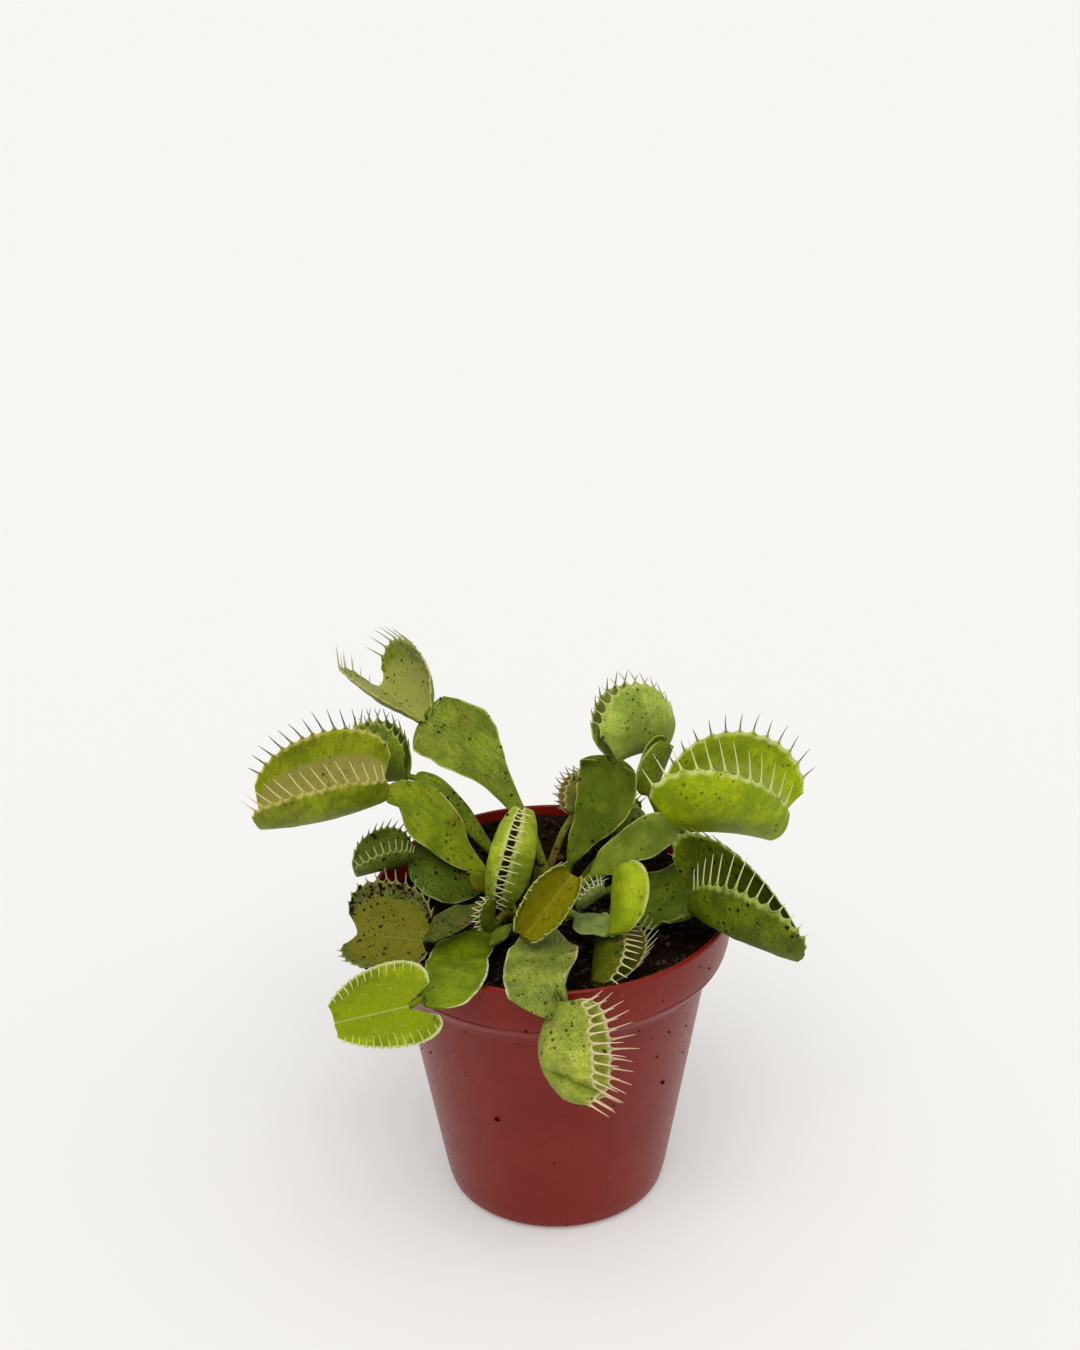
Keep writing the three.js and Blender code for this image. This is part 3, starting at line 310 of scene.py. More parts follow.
# ---- curves ----
def spline(points, places):
    """Points of a Catmull-Rom curve through evenly numbered points; places run from 0 to 1."""
    p = np.asarray(points, float)
    last = len(p) - 1
    p = np.vstack([2 * p[0] - p[1], p, 2 * p[-1] - p[-2]])
    t = np.atleast_1d(places) * last
    i = np.clip(np.floor(t).astype(int), 0, last - 1)
    f = (t - i)[:, None]
    a, b, c, d = p[i], p[i + 1], p[i + 2], p[i + 3]
    return 0.5 * (2 * b + (c - a) * f + (2 * a - 5 * b + 4 * c - d) * f**2 + (3 * b - a - 3 * c + d) * f**3)


def arc_lengths(points):
    steps = np.linalg.norm(np.diff(points, axis=0), axis=1)
    return np.concatenate([[0], np.cumsum(steps)])


def evenly_along(points):
    """A function that gives the curve's point at a share of its whole length."""
    line = spline(points, np.linspace(0, 1, CURVE_STEPS))
    lengths = arc_lengths(line)
    lengths /= lengths[-1]
    return lambda u: np.stack([np.interp(u, lengths, line[:, k]) for k in range(3)], -1)


def unit(v):
    return v / np.maximum(np.linalg.norm(v, axis=-1, keepdims=True), 1e-9)


def smooth_step(x):
    t = np.clip(x, 0, 1)
    return t * t * (3 - 2 * t)


def rough(points, size, seed=0.0):
    """Smooth noise from -1 to 1 at each point, with bumps about size across."""
    flat = np.asarray(points, float).reshape(-1, 3) / size + seed
    values = [noise.noise(Vector(p)) for p in flat]
    return np.array(values).reshape(np.asarray(points).shape[:-1])


# ---- meshes ----
# Numbers that every point holds for its material, besides its grain: millimetres across and along the veins.
#   out     0 at the midrib or hinge, 1 at the edge
#   inside  1 on the inner face of a trap
#   tooth   0 on the skin, 0.3 on a rim, 1 at a tooth's tip; on peat, how pale the crumb is, partly its own tone and partly painted highlight
#   trap    1 on a trap, 0 on a stalk or blade
#   dusk    how dark a tooth is
MARKS = ("out", "inside", "tooth", "trap", "dusk")


def add_to_scene(name, data):
    made = bpy.data.objects.new(name, data)
    bpy.context.scene.collection.objects.link(made)
    return made


class Shell:
    """Parts of one mesh, gathered before it is made."""

    def __init__(self):
        self.points, self.faces, self.marks, self.grain = [], [], [], []
        self.count = 0

    def add(self, points, faces, grain=None, **marks):
        n = len(points)
        self.points.append(np.asarray(points, float))
        self.faces += [tuple(self.count + i for i in face) for face in faces]
        self.marks.append(np.stack([np.broadcast_to(marks.get(mark, 0.0), (n,)) for mark in MARKS], -1))
        self.grain.append(np.zeros((n, 3)) if grain is None else grain)
        self.count += n

    def make(self, name, material):
        mesh = bpy.data.meshes.new(name)
        mesh.from_pydata((np.concatenate(self.points) * MM).tolist(), [], self.faces)
        marks = np.concatenate(self.marks)
        for k, mark in enumerate(MARKS):
            values = np.ascontiguousarray(marks[:, k], np.float32)
            mesh.attributes.new(mark, "FLOAT", "POINT").data.foreach_set("value", values)
        grain = mesh.attributes.new("grain", "FLOAT_VECTOR", "POINT")
        grain.data.foreach_set("vector", np.concatenate(self.grain).astype(np.float32).ravel())
        mesh.materials.append(material)
        mesh.shade_smooth()
        return add_to_scene(name, mesh)


def sheet(shell, top, bottom, out, grain, trap, inside=(0.0, 0.0)):
    """A closed sheet from two grids of points that lie face to face."""
    rows, columns = top.shape[:2]
    n = rows * columns
    at = np.arange(n).reshape(rows, columns)
    a, b, c, d = at[:-1, :-1], at[1:, :-1], at[1:, 1:], at[:-1, 1:]
    faces = np.stack([a, b, c, d], -1).reshape(-1, 4).tolist()
    faces += (np.stack([a, d, c, b], -1).reshape(-1, 4) + n).tolist()
    edge = np.concatenate([at[:-1, 0], at[-1, :-1], at[:0:-1, -1], at[0, :0:-1]])
    following = np.roll(edge, -1)
    faces += np.stack([following, edge, edge + n, following + n], -1).tolist()
    points, grain = np.stack([top, bottom]).reshape(-1, 3), np.stack([grain, grain]).reshape(-1, 3)
    shell.add(points, faces, grain, out=np.tile(out.ravel(), 2), inside=np.repeat(inside, n), trap=trap)


def ring_faces(rings, sides, first=0):
    """The numbers of the points in a stack of rings, and the faces between them."""
    at = first + np.arange(rings * sides).reshape(rings, sides)
    turned = np.roll(at, -1, axis=1)
    return at, np.stack([at[:-1], turned[:-1], turned[1:], at[1:]], -1).reshape(-1, 4).tolist()


def add_rings(shell, points, **marks):
    """A closed body from a stack of rings, with a flat face at each end."""
    at, faces = ring_faces(*points.shape[:2])
    shell.add(points.reshape(-1, 3), faces + [tuple(at[0][::-1]), tuple(at[-1])], **marks)


def tube(shell, path, radii, sides=6, flatten=None, **marks):
    """A closed round tube along a path. flatten is a direction that it is squeezed in."""
    path = np.asarray(path, float)
    ahead = unit(np.gradient(path, axis=0))
    side = np.zeros_like(path)
    across = flatten if flatten is not None else unit(np.cross(ahead[0], (0.31, 0.52, 0.79)))
    for i, a in enumerate(ahead):
        across = unit(across - a * np.dot(a, across))
        side[i] = across
    other = np.cross(ahead, side)
    angles = np.arange(sides)[:, None] * 2 * math.pi / sides
    squeeze = SQUEEZE if flatten is not None else 1.0
    ring = side[:, None] * np.cos(angles) * squeeze + other[:, None] * np.sin(angles)
    points = path[:, None] + ring * np.asarray(radii, float)[:, None, None]
    add_rings(shell, points, **{k: np.repeat(v, sides) if np.ndim(v) else v for k, v in marks.items()})


# ---- stalk and blade ----
PLAIN_STALK = dict(span=(0, 1), left=(0,), face=[(0, -0.6, 0.8)] * 2, fold=0, notch=0, wave=0)


def half_widths(leaf, span, values, u, radius):
    """Half width of one side of the blade at shares of the stalk's length, with a round shoulder."""
    if "blade" not in leaf:
        return radius
    start, end = span
    width = spline(np.transpose([values]), np.clip((u - start) / (end - start), 0, 1))[:, 0]
    shoulder = np.clip((u - end) / (0.5 * (1 - end) + 1e-6), 0, 1)
    width = np.where(u > end, radius + (values[-1] - radius) * np.sqrt(1 - shoulder**2), width)
    width = np.where(u < start, radius, width)
    return np.maximum(width, radius if "trap" in leaf else radius * np.clip((1 - u) * 12, 0.12, 1))


def stalk_rows(leaf, span):
    """Shares of the stalk's length for the rows across it, closer together at the shoulders."""
    if "blade" not in leaf:
        return np.linspace(0, 1, 16)
    start, end = span
    return np.unique(np.concatenate([
        np.linspace(0, start, 8), np.linspace(start, end, 56),
        np.linspace(end, min(end + 0.5 * (1 - end), 1), 12), np.linspace((end + 1) / 2, 1, 5),
    ]))


def add_stalk(shell, leaf, seed):
    """The stalk with its blade, from its foot in the soil to just under the trap."""
    shape = SimpleNamespace(**USUAL_BLADE | leaf.get("blade", PLAIN_STALK))
    halves = (shape.left, shape.right or shape.left)
    midrib = evenly_along(leaf["stalk"])
    u = stalk_rows(leaf, shape.span)
    start, end = shape.span
    share = np.clip((u - start) / (end - start), 0, 1)
    middle = midrib(u)
    ahead = unit(midrib(np.minimum(u + 0.01, 1)) - midrib(np.maximum(u - 0.01, 0)))
    face = np.outer(1 - share, shape.face[0]) + np.outer(share, shape.face[1])
    foot = np.array([[0, 0, -FOOT_DEPTH], [0, 0, -0.4 * FOOT_DEPTH], [0, 0, -0.6]]) + middle[0]
    middle = np.vstack([foot, middle])
    upward = unit(np.array([0, 0, 1]) + np.outer([0, 0.15, 0.5], ahead[0]))
    ahead = np.vstack([upward, ahead])
    face = np.vstack([face[[0, 0, 0]], face])
    u, share = np.pad(u, (3, 0)), np.pad(share, (3, 0))
    across = unit(np.cross(ahead, face))
    up = np.cross(across, ahead)
    radius = STALK_RADIUS[0] + (STALK_RADIUS[1] - STALK_RADIUS[0]) * u

    half_columns = 14 if max(max(half) for half in halves) > 4 else 8
    side = np.sin(np.linspace(-1, 1, 2 * half_columns + 1) * math.pi / 2)[None, :]
    out = np.abs(side)
    left, right = (half_widths(leaf, shape.span, half, u, radius)[:, None] for half in halves)
    half = np.where(side < 0, left, right)
    wide = smooth_step((half - 1.2) / 2)
    zero = half * 0
    along = arc_lengths(middle)[:, None] + zero
    grain = np.stack([half * side, along, zero], -1)
    ragged = rough(np.stack([np.sign(side) * 9 + zero, along, zero], -1), 3.2, seed)
    width = half * side * (1 + 0.05 * ragged * wide)
    fold = math.radians(shape.fold)
    phase = np.where(side < 0, 0.5, 2.1)
    swell = shape.wave * out**2 * np.sin(share[:, None] * 4 * math.pi + phase)
    ripple = 0.35 * out**3 * rough(np.stack([np.sign(side) * 5 + zero, along, zero], -1), 4.5, seed + 3)
    lift = (np.abs(width) * math.sin(fold) + swell + ripple) * wide
    push = wide * shape.notch * smooth_step((share[:, None] - 0.5) / 0.5) * 4 * out * (1 - out)
    point = (
        middle[:, None] + across[:, None] * (width * math.cos(fold))[..., None]
        + up[:, None] * lift[..., None] + ahead[:, None] * push[..., None]
    )
    surface = 0.16 * rough(point, 3.0, seed + 5) * wide * (1 - out)
    round_part = radius[:, None] * np.sqrt(np.clip(1 - side**2, 0, 1)) + 0.03
    thin = (EDGE_THICKNESS + (LEAF_THICKNESS - EDGE_THICKNESS) * (1 - out)) / 2
    groove = 0.22 * np.exp(-((width / 0.7) ** 2))
    ridge = (radius[:, None] - 0.3) * np.exp(-((width / 1.1) ** 2))
    above = round_part * (1 - wide) + (thin - groove + ridge * 0.25) * wide + surface
    below = round_part * (1 - wide) + (thin + ridge) * wide - surface
    top = point + up[:, None] * above[..., None]
    bottom = point - up[:, None] * below[..., None]
    sheet(shell, top, bottom, out * np.clip(wide + 0.15, 0, 1), grain, 0.0)


# ---- trap ----
def trap_frame(leaf):
    """The trap's sizes, its hinge and, for each lobe, the way it stands, its height and its outer side."""
    trap = SimpleNamespace(**USUAL_TRAP | leaf["trap"], lobes=[])
    trap.start, trap.end = np.array(leaf["stalk"][-1], float), np.array(trap.end, float)
    trap.length = np.linalg.norm(trap.end - trap.start)
    trap.ahead = (trap.end - trap.start) / trap.length
    trap.middle = (trap.start + trap.end) / 2
    for peak, bow, tooth, _ in zip(trap.peaks, *np.broadcast_arrays(trap.bow, trap.tooth, (0, 0))):
        to_peak = peak - trap.middle
        lean = to_peak @ trap.ahead
        rise = to_peak - trap.ahead * lean
        height = np.linalg.norm(rise)
        trap.lobes.append(SimpleNamespace(lean=lean, height=height, up=rise / height, bow=bow, tooth=tooth))
    first, second = trap.lobes
    trap.mouth = unit(first.up + second.up)
    for lobe, other in ((first, second), (second, first)):
        outward = np.cross(trap.ahead, lobe.up)
        lobe.outward = -outward if outward @ other.up > 0 else outward
        lobe.side = unit(lobe.up - trap.mouth * (lobe.up @ trap.mouth))
    return trap


def lobe_points(trap, lobe, share, out):
    """Points of a lobe's middle surface at shares along the hinge and out to the edge."""
    share, out = np.broadcast_arrays(np.asarray(share, float), np.asarray(out, float))
    corner = math.radians(trap.corner)
    angle = corner + (math.pi - 2 * corner) * (1 - share)
    arch = (4 * share * (1 - share) * trap.arch)[..., None] * trap.mouth
    rise = lobe.height * np.sin(angle) ** trap.round
    reach = trap.length / 2 * (1 + trap.flare) * np.cos(angle) + rise / lobe.height * lobe.lean
    hinge = trap.start + share[..., None] * (trap.end - trap.start) + arch
    edge = trap.middle + reach[..., None] * trap.ahead + rise[..., None] * lobe.up + 0.5 * arch
    bulge = 4 * out * (1 - out) * rise * lobe.bow
    point = hinge + (edge - hinge) * out[..., None] + bulge[..., None] * lobe.outward
    return point + ((1 - out) * HINGE_WIDTH / 2)[..., None] * lobe.side


def lobe_grid(trap, lobe, look, out, seed):
    """A lobe's middle surface, its edge drawn in between the teeth, and its rows' shares along the hinge."""
    teeth = trap.teeth
    fine = np.linspace(0, 1, EDGE_STEPS)
    lengths = arc_lengths(lobe_points(trap, lobe, fine, 1.0))
    places = np.linspace(0, 1, teeth * ROWS_A_TOOTH + 1 if teeth else ROWS_OF_A_PLAIN_EDGE)
    shares = np.interp(places * lengths[-1], lengths, fine)
    dip = np.zeros_like(places)
    if teeth:
        depth = min(SCALLOP_DEPTH, 0.32 * lengths[-1] / teeth) * look.dip
        toothed = (places > TOOTHLESS_END) & (places < 1 - TOOTHLESS_END)
        phase = (places - TOOTHLESS_END) / TOOTHED * teeth
        dip = np.where(toothed, depth * np.abs(np.cos(math.pi * phase)), depth)
    across = lobe_points(trap, lobe, shares, 1.0) - lobe_points(trap, lobe, shares, 0.0)
    dip = dip / np.maximum(np.linalg.norm(across, axis=-1), 3)
    drawn = out * (1 - dip[:, None] * out**6)
    grid = lobe_points(trap, lobe, shares[:, None], drawn)
    fade = (out * 4).clip(0, 1)
    crease, deep = look.crease
    line = shares[:, None] - crease - 0.08 * out
    grid = grid - (deep * np.exp(-((line / CREASE_WIDTH) ** 2)) * fade)[..., None] * lobe.outward
    grid = grid + (look.crumple * rough(grid, 4.2, seed) * fade)[..., None] * lobe.outward
    grid = grid + (look.crumple * 0.5 * rough(grid, 1.9, seed + 2) * fade)[..., None] * lobe.outward
    return grid, shares


def add_teeth(shell, trap, k, look, grid, seed):
    """Curved teeth along the edge of a lobe, the longest at its middle."""
    lobe, teeth = trap.lobes[k], trap.teeth
    turn = math.radians(look.turn[k])
    centre = trap.middle + lobe.up * lobe.height * 0.15
    rows = np.linspace(0, 1, len(grid))
    t = np.linspace(0, 1, 8)
    swell = 0.28 if turn < 1 else 0.1
    radii = 0.2 * (1 - t) ** 0.75 + swell * np.exp(-t * 9) + 0.045
    root = 0.35 * max(math.cos(turn), 0)
    for j in range(teeth):
        place = (j + 0.5) / teeth * TOOTHED + TOOTHLESS_END
        edge = [np.interp(place, rows, line) for line in grid[:, [-1, -3]].reshape(-1, 6).T]
        base, under = np.array(edge[:3]), np.array(edge[3:])
        ahead = unit(0.55 * unit(base - under) + 0.45 * unit(base - centre))
        uneven = 0.88 + 0.24 * ((j * 7919) % 13) / 13
        long = lobe.tooth * (0.62 + 0.38 * math.sin(math.pi * place)) * uneven
        long *= 1 - look.fade[k] * float(smooth_step((place - 0.45) / 0.4))
        ahead = unit(ahead + trap.ahead * trap.sweep) * math.cos(turn) - lobe.outward * math.sin(turn)
        ahead = unit(ahead + trap.ahead * look.lean[k])
        sway = Vector(base) * 0.3 + Vector((seed, j, 0))
        bend = (np.array(noise.noise_vector(sway)) - lobe.outward) * 0.16
        path = base - ahead * root + np.outer(t, ahead) * (long + 0.2) + np.outer(t**2, bend) * long * 0.8
        tube(shell, path, radii, flatten=lobe.outward, tooth=0.35 + 0.65 * t, out=1.0, trap=1.0,
             dusk=look.dusk[k])


def add_rim(shell, grid):
    """The pale rim round the free edges of a lobe, thinner beside the hinge."""
    near, far = grid[0, 2:-1], grid[-1, -2:1:-1]
    thinner = np.linspace(0.25, 0.8, len(near))
    along = np.concatenate([thinner, np.ones(len(grid)), thinner[::-1]])
    path = np.concatenate([near, grid[:, -1], far])
    tube(shell, path, RIM_THICKNESS * along, sides=5, tooth=0.3 * along, out=1.0, trap=1.0)


def add_trigger_hairs(shell, trap, lobe):
    for share, out in ((0.36, 0.42), (0.5, 0.55), (0.64, 0.42)):
        base = lobe_points(trap, lobe, share, out)
        t = np.linspace(0, 1, 4)
        path = base - np.outer(t, lobe.outward) * HAIR_LENGTH + np.outer(t**2, lobe.up) * 0.5
        tube(shell, path, 0.09 * (1 - t) + 0.03, sides=4, tooth=0.5, out=0.5, inside=1.0, trap=1.0)


def add_trap(shell, leaf, seed):
    """Both lobes as one sheet folded at the keel, with their rims, teeth and trigger hairs."""
    trap, look = trap_frame(leaf), leaf["look"]
    columns = 15 if trap.length > 12 else 11
    out = np.linspace(0, 1, columns) ** 0.9
    sides = [lobe_grid(trap, lobe, look, out, seed + 11 * k) for k, lobe in enumerate(trap.lobes)]
    (first, shares), (second, _) = sides
    keel = (first[:, 0] + second[:, 0]) / 2 - trap.mouth * KEEL_DROP
    grid = np.concatenate([first[:, ::-1], keel[:, None], second], axis=1)
    beside = np.maximum(out, BESIDE_HINGE)
    out = np.broadcast_to(np.concatenate([beside[::-1], [0], beside]), grid.shape[:2])
    normal = unit(np.cross(np.gradient(grid, axis=0), np.gradient(grid, axis=1)))
    if np.sum(normal[:, columns + 1:] * trap.lobes[1].outward) < 0:
        normal = -normal
    thick = (LEAF_THICKNESS + (EDGE_THICKNESS - LEAF_THICKNESS) * out) / 2
    ridge = KEEL * np.exp(-((out * columns / 1.6) ** 2)) * (1 - 0.6 * shares[:, None])
    outer = grid + normal * (thick + ridge)[..., None]
    inner = grid - normal * thick[..., None]
    across = np.broadcast_to(shares[:, None] * trap.length, out.shape)
    grain = np.stack([across, out * trap.lobes[0].height, out * 0], -1)
    sheet(shell, outer, inner, out, grain, 1.0, inside=(0.0, 1.0))
    for k, lobe in enumerate(trap.lobes):
        add_rim(shell, sides[k][0])
        add_teeth(shell, trap, k, look, sides[k][0], seed + k)
        if look.hairs:
            add_trigger_hairs(shell, trap, lobe)


# ---- materials ----
def paint(code, factor=1.0):
    """A colour written as rrggbb, as the shader's numbers, times a factor."""
    parts = [int(code[i:i + 2], 16) / 255 for i in (0, 2, 4)]
    return (*[factor * (c / 12.92 if c <= 0.04045 else ((c + 0.055) / 1.055) ** 2.4) for c in parts], 1.0)


class Shader:
    """Short names for the nodes that the materials below are made of."""

    def __init__(self, name):
        self.material = bpy.data.materials.new(name)
        self.material.use_nodes = True
        self.tree = self.material.node_tree

    def fill(self, node, sockets):
        """Links or sets a node's own sockets, by their names or numbers."""
        for key, value in sockets.items():
            if isinstance(value, bpy.types.NodeSocket):
                self.tree.links.new(value, node.inputs[key])
            elif value is not None:
                node.inputs[key].default_value = value
        return node

    def finish(self, sockets):
        self.fill(self.tree.nodes["Principled BSDF"], sockets)
        return self.material

    def node(self, kind, *values, **settings):
        made = self.tree.nodes.new("ShaderNode" + kind)
        for key, value in settings.items():
            setattr(made, key, value)
        return self.fill(made, dict(enumerate(values)))

    def mark(self, name, output="Fac"):
        return self.node("Attribute", attribute_name=name).outputs[output]

    def stretch(self, vector, scale):
        return self.node("VectorMath", vector, scale, operation="MULTIPLY").outputs[0]

    def place(self):
        """The object's own coordinates, in millimetres."""
        return self.stretch(self.node("TexCoord").outputs["Object"], (1 / MM,) * 3)

    def noise(self, vector, scale, detail=3.0, roughness=0.55):
        sockets = {"Vector": vector, "Scale": scale, "Detail": detail, "Roughness": roughness}
        return self.fill(self.node("TexNoise"), sockets).outputs["Fac"]

    def specks(self, vector, scale, largest):
        """1 on round specks scattered about 1 / scale apart, few of them as large as largest."""
        made = self.fill(self.node("TexVoronoi"), {"Vector": vector, "Scale": scale})
        draw = self.maths("POWER", made.outputs["Color"], 2.5)
        size = self.maths("ADD", self.times(draw, largest * 1.6), 0.03)
        return self.span(self.maths("DIVIDE", made.outputs["Distance"], size), 1.0, 0.75)

    def span(self, *numbers):
        """A value between a low and a high one, eased into 0 to 1 or into two numbers given after them."""
        return self.node("MapRange", *numbers, interpolation_type="SMOOTHSTEP").outputs["Result"]

    def maths(self, operation, a, b):
        return self.node("Math", a, b, operation=operation).outputs[0]

    def times(self, a, b):
        return self.maths("MULTIPLY", a, b)

    def blend(self, share, a, b, kind="MIX"):
        made = self.node("Mix", data_type="RGBA", blend_type=kind)
        return self.fill(made, {"Factor": share, 6: a, 7: b}).outputs[2]

    def bump(self, height, distance, strength, under=None):
        sockets = {"Strength": strength, "Distance": distance * MM, "Height": height, "Normal": under}
        return self.fill(self.node("Bump"), sockets).outputs["Normal"]


def leaf_material(name, look):
    """Waxy leaf: mottled green, fine veins, a pale edge, painted shade along the hinge, a warmer mouth, cream
    teeth and peat specks.
    """
    s = Shader(name)
    place = s.place()
    out, inside, tooth, trap, dusk = (s.mark(m) for m in MARKS)
    outer, inner, edge, peat = look.outer, look.inner, paint(look.edge), look.peat
    mottle = s.span(s.noise(place, 0.16, 4.0), 0.32, 0.7)
    fine = s.noise(place, 1.1)
    veins = s.noise(s.stretch(s.mark("grain", "Vector"), (1.6, 0.16, 1.0)), 1.0)
    skin = s.blend(trap, paint(look.blade), paint(outer))
    tone = s.blend(s.span(mottle, 0.0, 1.0), (0.70, 0.77, 0.58, 1), (1.24, 1.24, 0.98, 1))
    colour = s.blend(1.0, skin, tone, "MULTIPLY")
    streak = s.blend(s.span(veins, 0.38, 0.68, 0.0, look.veins), (1.06, 1.06, 1, 1), (0.5, 0.57, 0.38, 1))
    colour = s.blend(1.0, colour, streak, "MULTIPLY")
    flecks = s.span(s.noise(place, 1.9, 4.0, 0.7), 0.38, 0.62, 0.82 - 0.5 * peat, 1.12)
    flecked = s.blend(s.maths("SUBTRACT", 1.0, flecks), colour, paint(outer, 0.25))
    colour = s.blend(s.span(tooth, 0.1, 0.05), colour, flecked)
    blade_edge = s.times(s.span(out, 0.93, 0.99, 0.0, 0.9), s.span(s.noise(place, 0.25), 0.3, 0.55))
    colour = s.blend(blade_edge, colour, edge)
    warm = s.times(s.span(s.noise(place, 0.22, 2.0), 0.45, 0.7), look.blush)
    colour = s.blend(warm, colour, paint("8a5a2c"))
    # painted shade: the trap's lobes are darkened towards the hinge, where shade falls in the fold between
    # them
    keel = s.times(s.times(trap, s.span(out, 0.75, 0.15)), 0.45)
    colour = s.blend(keel, colour, paint(outer, 0.62))
    mouth = s.times(inside, s.span(out, 0.72, 0.6))
    colour = s.blend(mouth, colour, s.blend(s.span(fine, 0.3, 0.7), paint(inner, 0.9), paint(inner, 1.08)))
    colour = s.blend(s.times(inside, s.span(out, 0.03, 0.01, 0.0, 0.3)), colour, edge)
    cream = s.blend(s.span(tooth, 0.3, 0.9), edge, paint(look.cream))
    cream = s.blend(s.times(dusk, s.span(tooth, 0.35, 0.6)), cream, paint("5d5552"))
    colour = s.blend(s.span(tooth, 0.05, 0.42), colour, cream)
    patch = s.span(s.noise(place, 0.14, 2.0), 0.54 - 0.3 * peat, 0.66 - 0.25 * peat)
    speck = s.maths("MAXIMUM", s.specks(place, 0.7, 0.34), s.times(s.specks(place, 2.1, 0.36), 0.8))
    speck = s.times(s.times(speck, patch), min(1.0, 0.4 + peat))
    speck = s.times(speck, s.span(tooth, 0.3, 0.2))
    relief = s.bump(fine, 0.12, 0.5, s.bump(veins, 0.35, look.veins))
    return s.finish({
        "Base Color": s.blend(speck, colour, paint("1d150c")),
        "Roughness": s.span(fine, 0.3, 0.7, 0.42, 0.6),
        "Specular IOR Level": 0.13,
        "Specular Tint": (0.95, 1.0, 0.6, 1),
        "Subsurface Weight": 0.1,
        "Subsurface Radius": (0.5, 0.9, 0.15),
        "Subsurface Scale": 1.2 * MM,
        "Normal": s.bump(speck, 0.25, 0.7, relief),
    })


def plastic_material():
    """Red-brown moulded plastic: nearly even, faintly dusty, with fine scratches."""
    s = Shader("moulded_plastic")
    place = s.place()
    cloud = s.noise(place, 0.06)
    dust = s.noise(place, 0.9, 4.0, 0.65)
    colour = s.blend(s.span(cloud, 0.3, 0.7), paint("741507"), paint("7c1a0a"))
    colour = s.blend(s.span(dust, 0.6, 0.85, 0.0, 0.12), colour, paint("a36a5c"))
    scratch = s.noise(s.stretch(place, (2.2, 2.2, 0.18)), 0.8, 2.0, 0.4)
    colour = s.blend(s.span(scratch, 0.77, 0.82, 0.0, 0.5), colour, paint("b98478"))
    return s.finish({
        "Base Color": s.blend(s.times(s.specks(place, 0.4, 0.1), 0.8), colour, paint("2a120c")),
        "Roughness": s.span(dust, 0.3, 0.75, 0.27, 0.42),
        "Specular IOR Level": 0.22,
        "Normal": s.bump(dust, 0.04, 0.35, s.bump(cloud, 0.5, 0.12)),
    })


def peat_material():
    """Dark fibrous peat, with a tone of its own for each crumb; the pale crumbs and fibres are partly painted
    highlight.
    """
    s = Shader("dark_peat")
    grit = s.noise(s.place(), 2.4, 5.0, 0.7)
    colour = s.blend(s.span(grit, 0.4, 0.66), paint("0f0805"), paint("33200f"))
    return s.finish({
        # pale crumbs and fibres: partly a paler tone of their own, partly painted highlight for the peat's
        # grey glints
        "Base Color": s.blend(s.span(s.mark("tooth"), 0.5, 0.95, 0.0, 0.9), colour, paint("5f4d40")),
        "Roughness": 0.8,
        "Specular IOR Level": 0.05,
        "Normal": s.bump(grit, 0.5, 0.9),
    })


def floor_material():
    """Pale matt paper that glows a little, so that it stays even to its far edges."""
    return Shader("pale_floor").finish({
        "Base Color": (0.62, 0.615, 0.605, 1),
        "Roughness": 0.8,
        "Specular IOR Level": 0.2,
        "Emission Color": (1.0, 0.99, 0.975, 1),
        "Emission Strength": 0.235,
    })


# ---- pot ----
# Radius and height of the wall's corners from its base up, and how far each corner of the whole profile
# is rounded, by its number.
LOW_BAND, MIDDLE_BAND, HIGH_BAND = BAND_RADII
CREASE_FOOT = CREASE_HEIGHT - CREASE_DROP
POT_SIDE = [
    (BODY_BASE_RADIUS, CORNER_HEIGHT), (BODY_TOP_RADIUS, CREASE_FOOT), (BODY_TOP_RADIUS + 0.6, CREASE_HEIGHT),
    (LOW_BAND, CREASE_HEIGHT + 2), (MIDDLE_BAND, CREASE_HEIGHT + 4), (HIGH_BAND, CREASE_HEIGHT + 6.5),
    (RIM_RADIUS, POT_HEIGHT - 0.5),
]
POT_INSIDE = [
    (BODY_BASE_RADIUS - WALL, CORNER_HEIGHT), (BODY_TOP_RADIUS - WALL, CREASE_FOOT),
    (LOW_BAND - WALL, CREASE_HEIGHT + 2.6), (MIDDLE_BAND - WALL, CREASE_HEIGHT + 4.4),
    (HIGH_BAND - WALL, CREASE_HEIGHT + 6.5), (RIM_RADIUS - WALL, POT_HEIGHT),
]
ROUNDINGS = {15: 1.2, 14: 0.8, 13: 0.8, 11: 0.25, 10: 0.25, 9: 0.3, 8: 1.6, 7: 1.2, 6: 1.2, 5: 0.5, 4: 0.4,
             3: 2.0, 2: 0.9, 1: 0.8}


def rounded(profile, corner, radius, steps=5):
    """The profile with one of its corners replaced by a small curve."""
    before, at, after = (np.array(p, float) for p in profile[corner - 1:corner + 2])
    a = at + unit(before - at) * radius
    b = at + unit(after - at) * radius
    curve = [tuple((1 - t) ** 2 * a + 2 * t * (1 - t) * at + t * t * b) for t in np.linspace(0, 1, steps)]
    return profile[:corner] + curve + profile[corner + 1:]


def lathe(shell, profile, segments):
    """A closed body turned round +Z from a profile that starts and ends on the axis."""
    ring = profile[1:-1]
    angles = np.arange(segments) * 2 * math.pi / segments
    points = [(0, 0, profile[0][1])]
    points += [(r * math.cos(a), r * math.sin(a), z) for r, z in ring for a in angles]
    points.append((0, 0, profile[-1][1]))
    at, side = ring_faces(len(ring), segments, 1)
    base = [(0, b, a) for a, b in zip(at[0], np.roll(at[0], -1))]
    inner_floor = [(len(points) - 1, a, b) for a, b in zip(at[-1], np.roll(at[-1], -1))]
    shell.add(np.array(points), base + side + inner_floor)


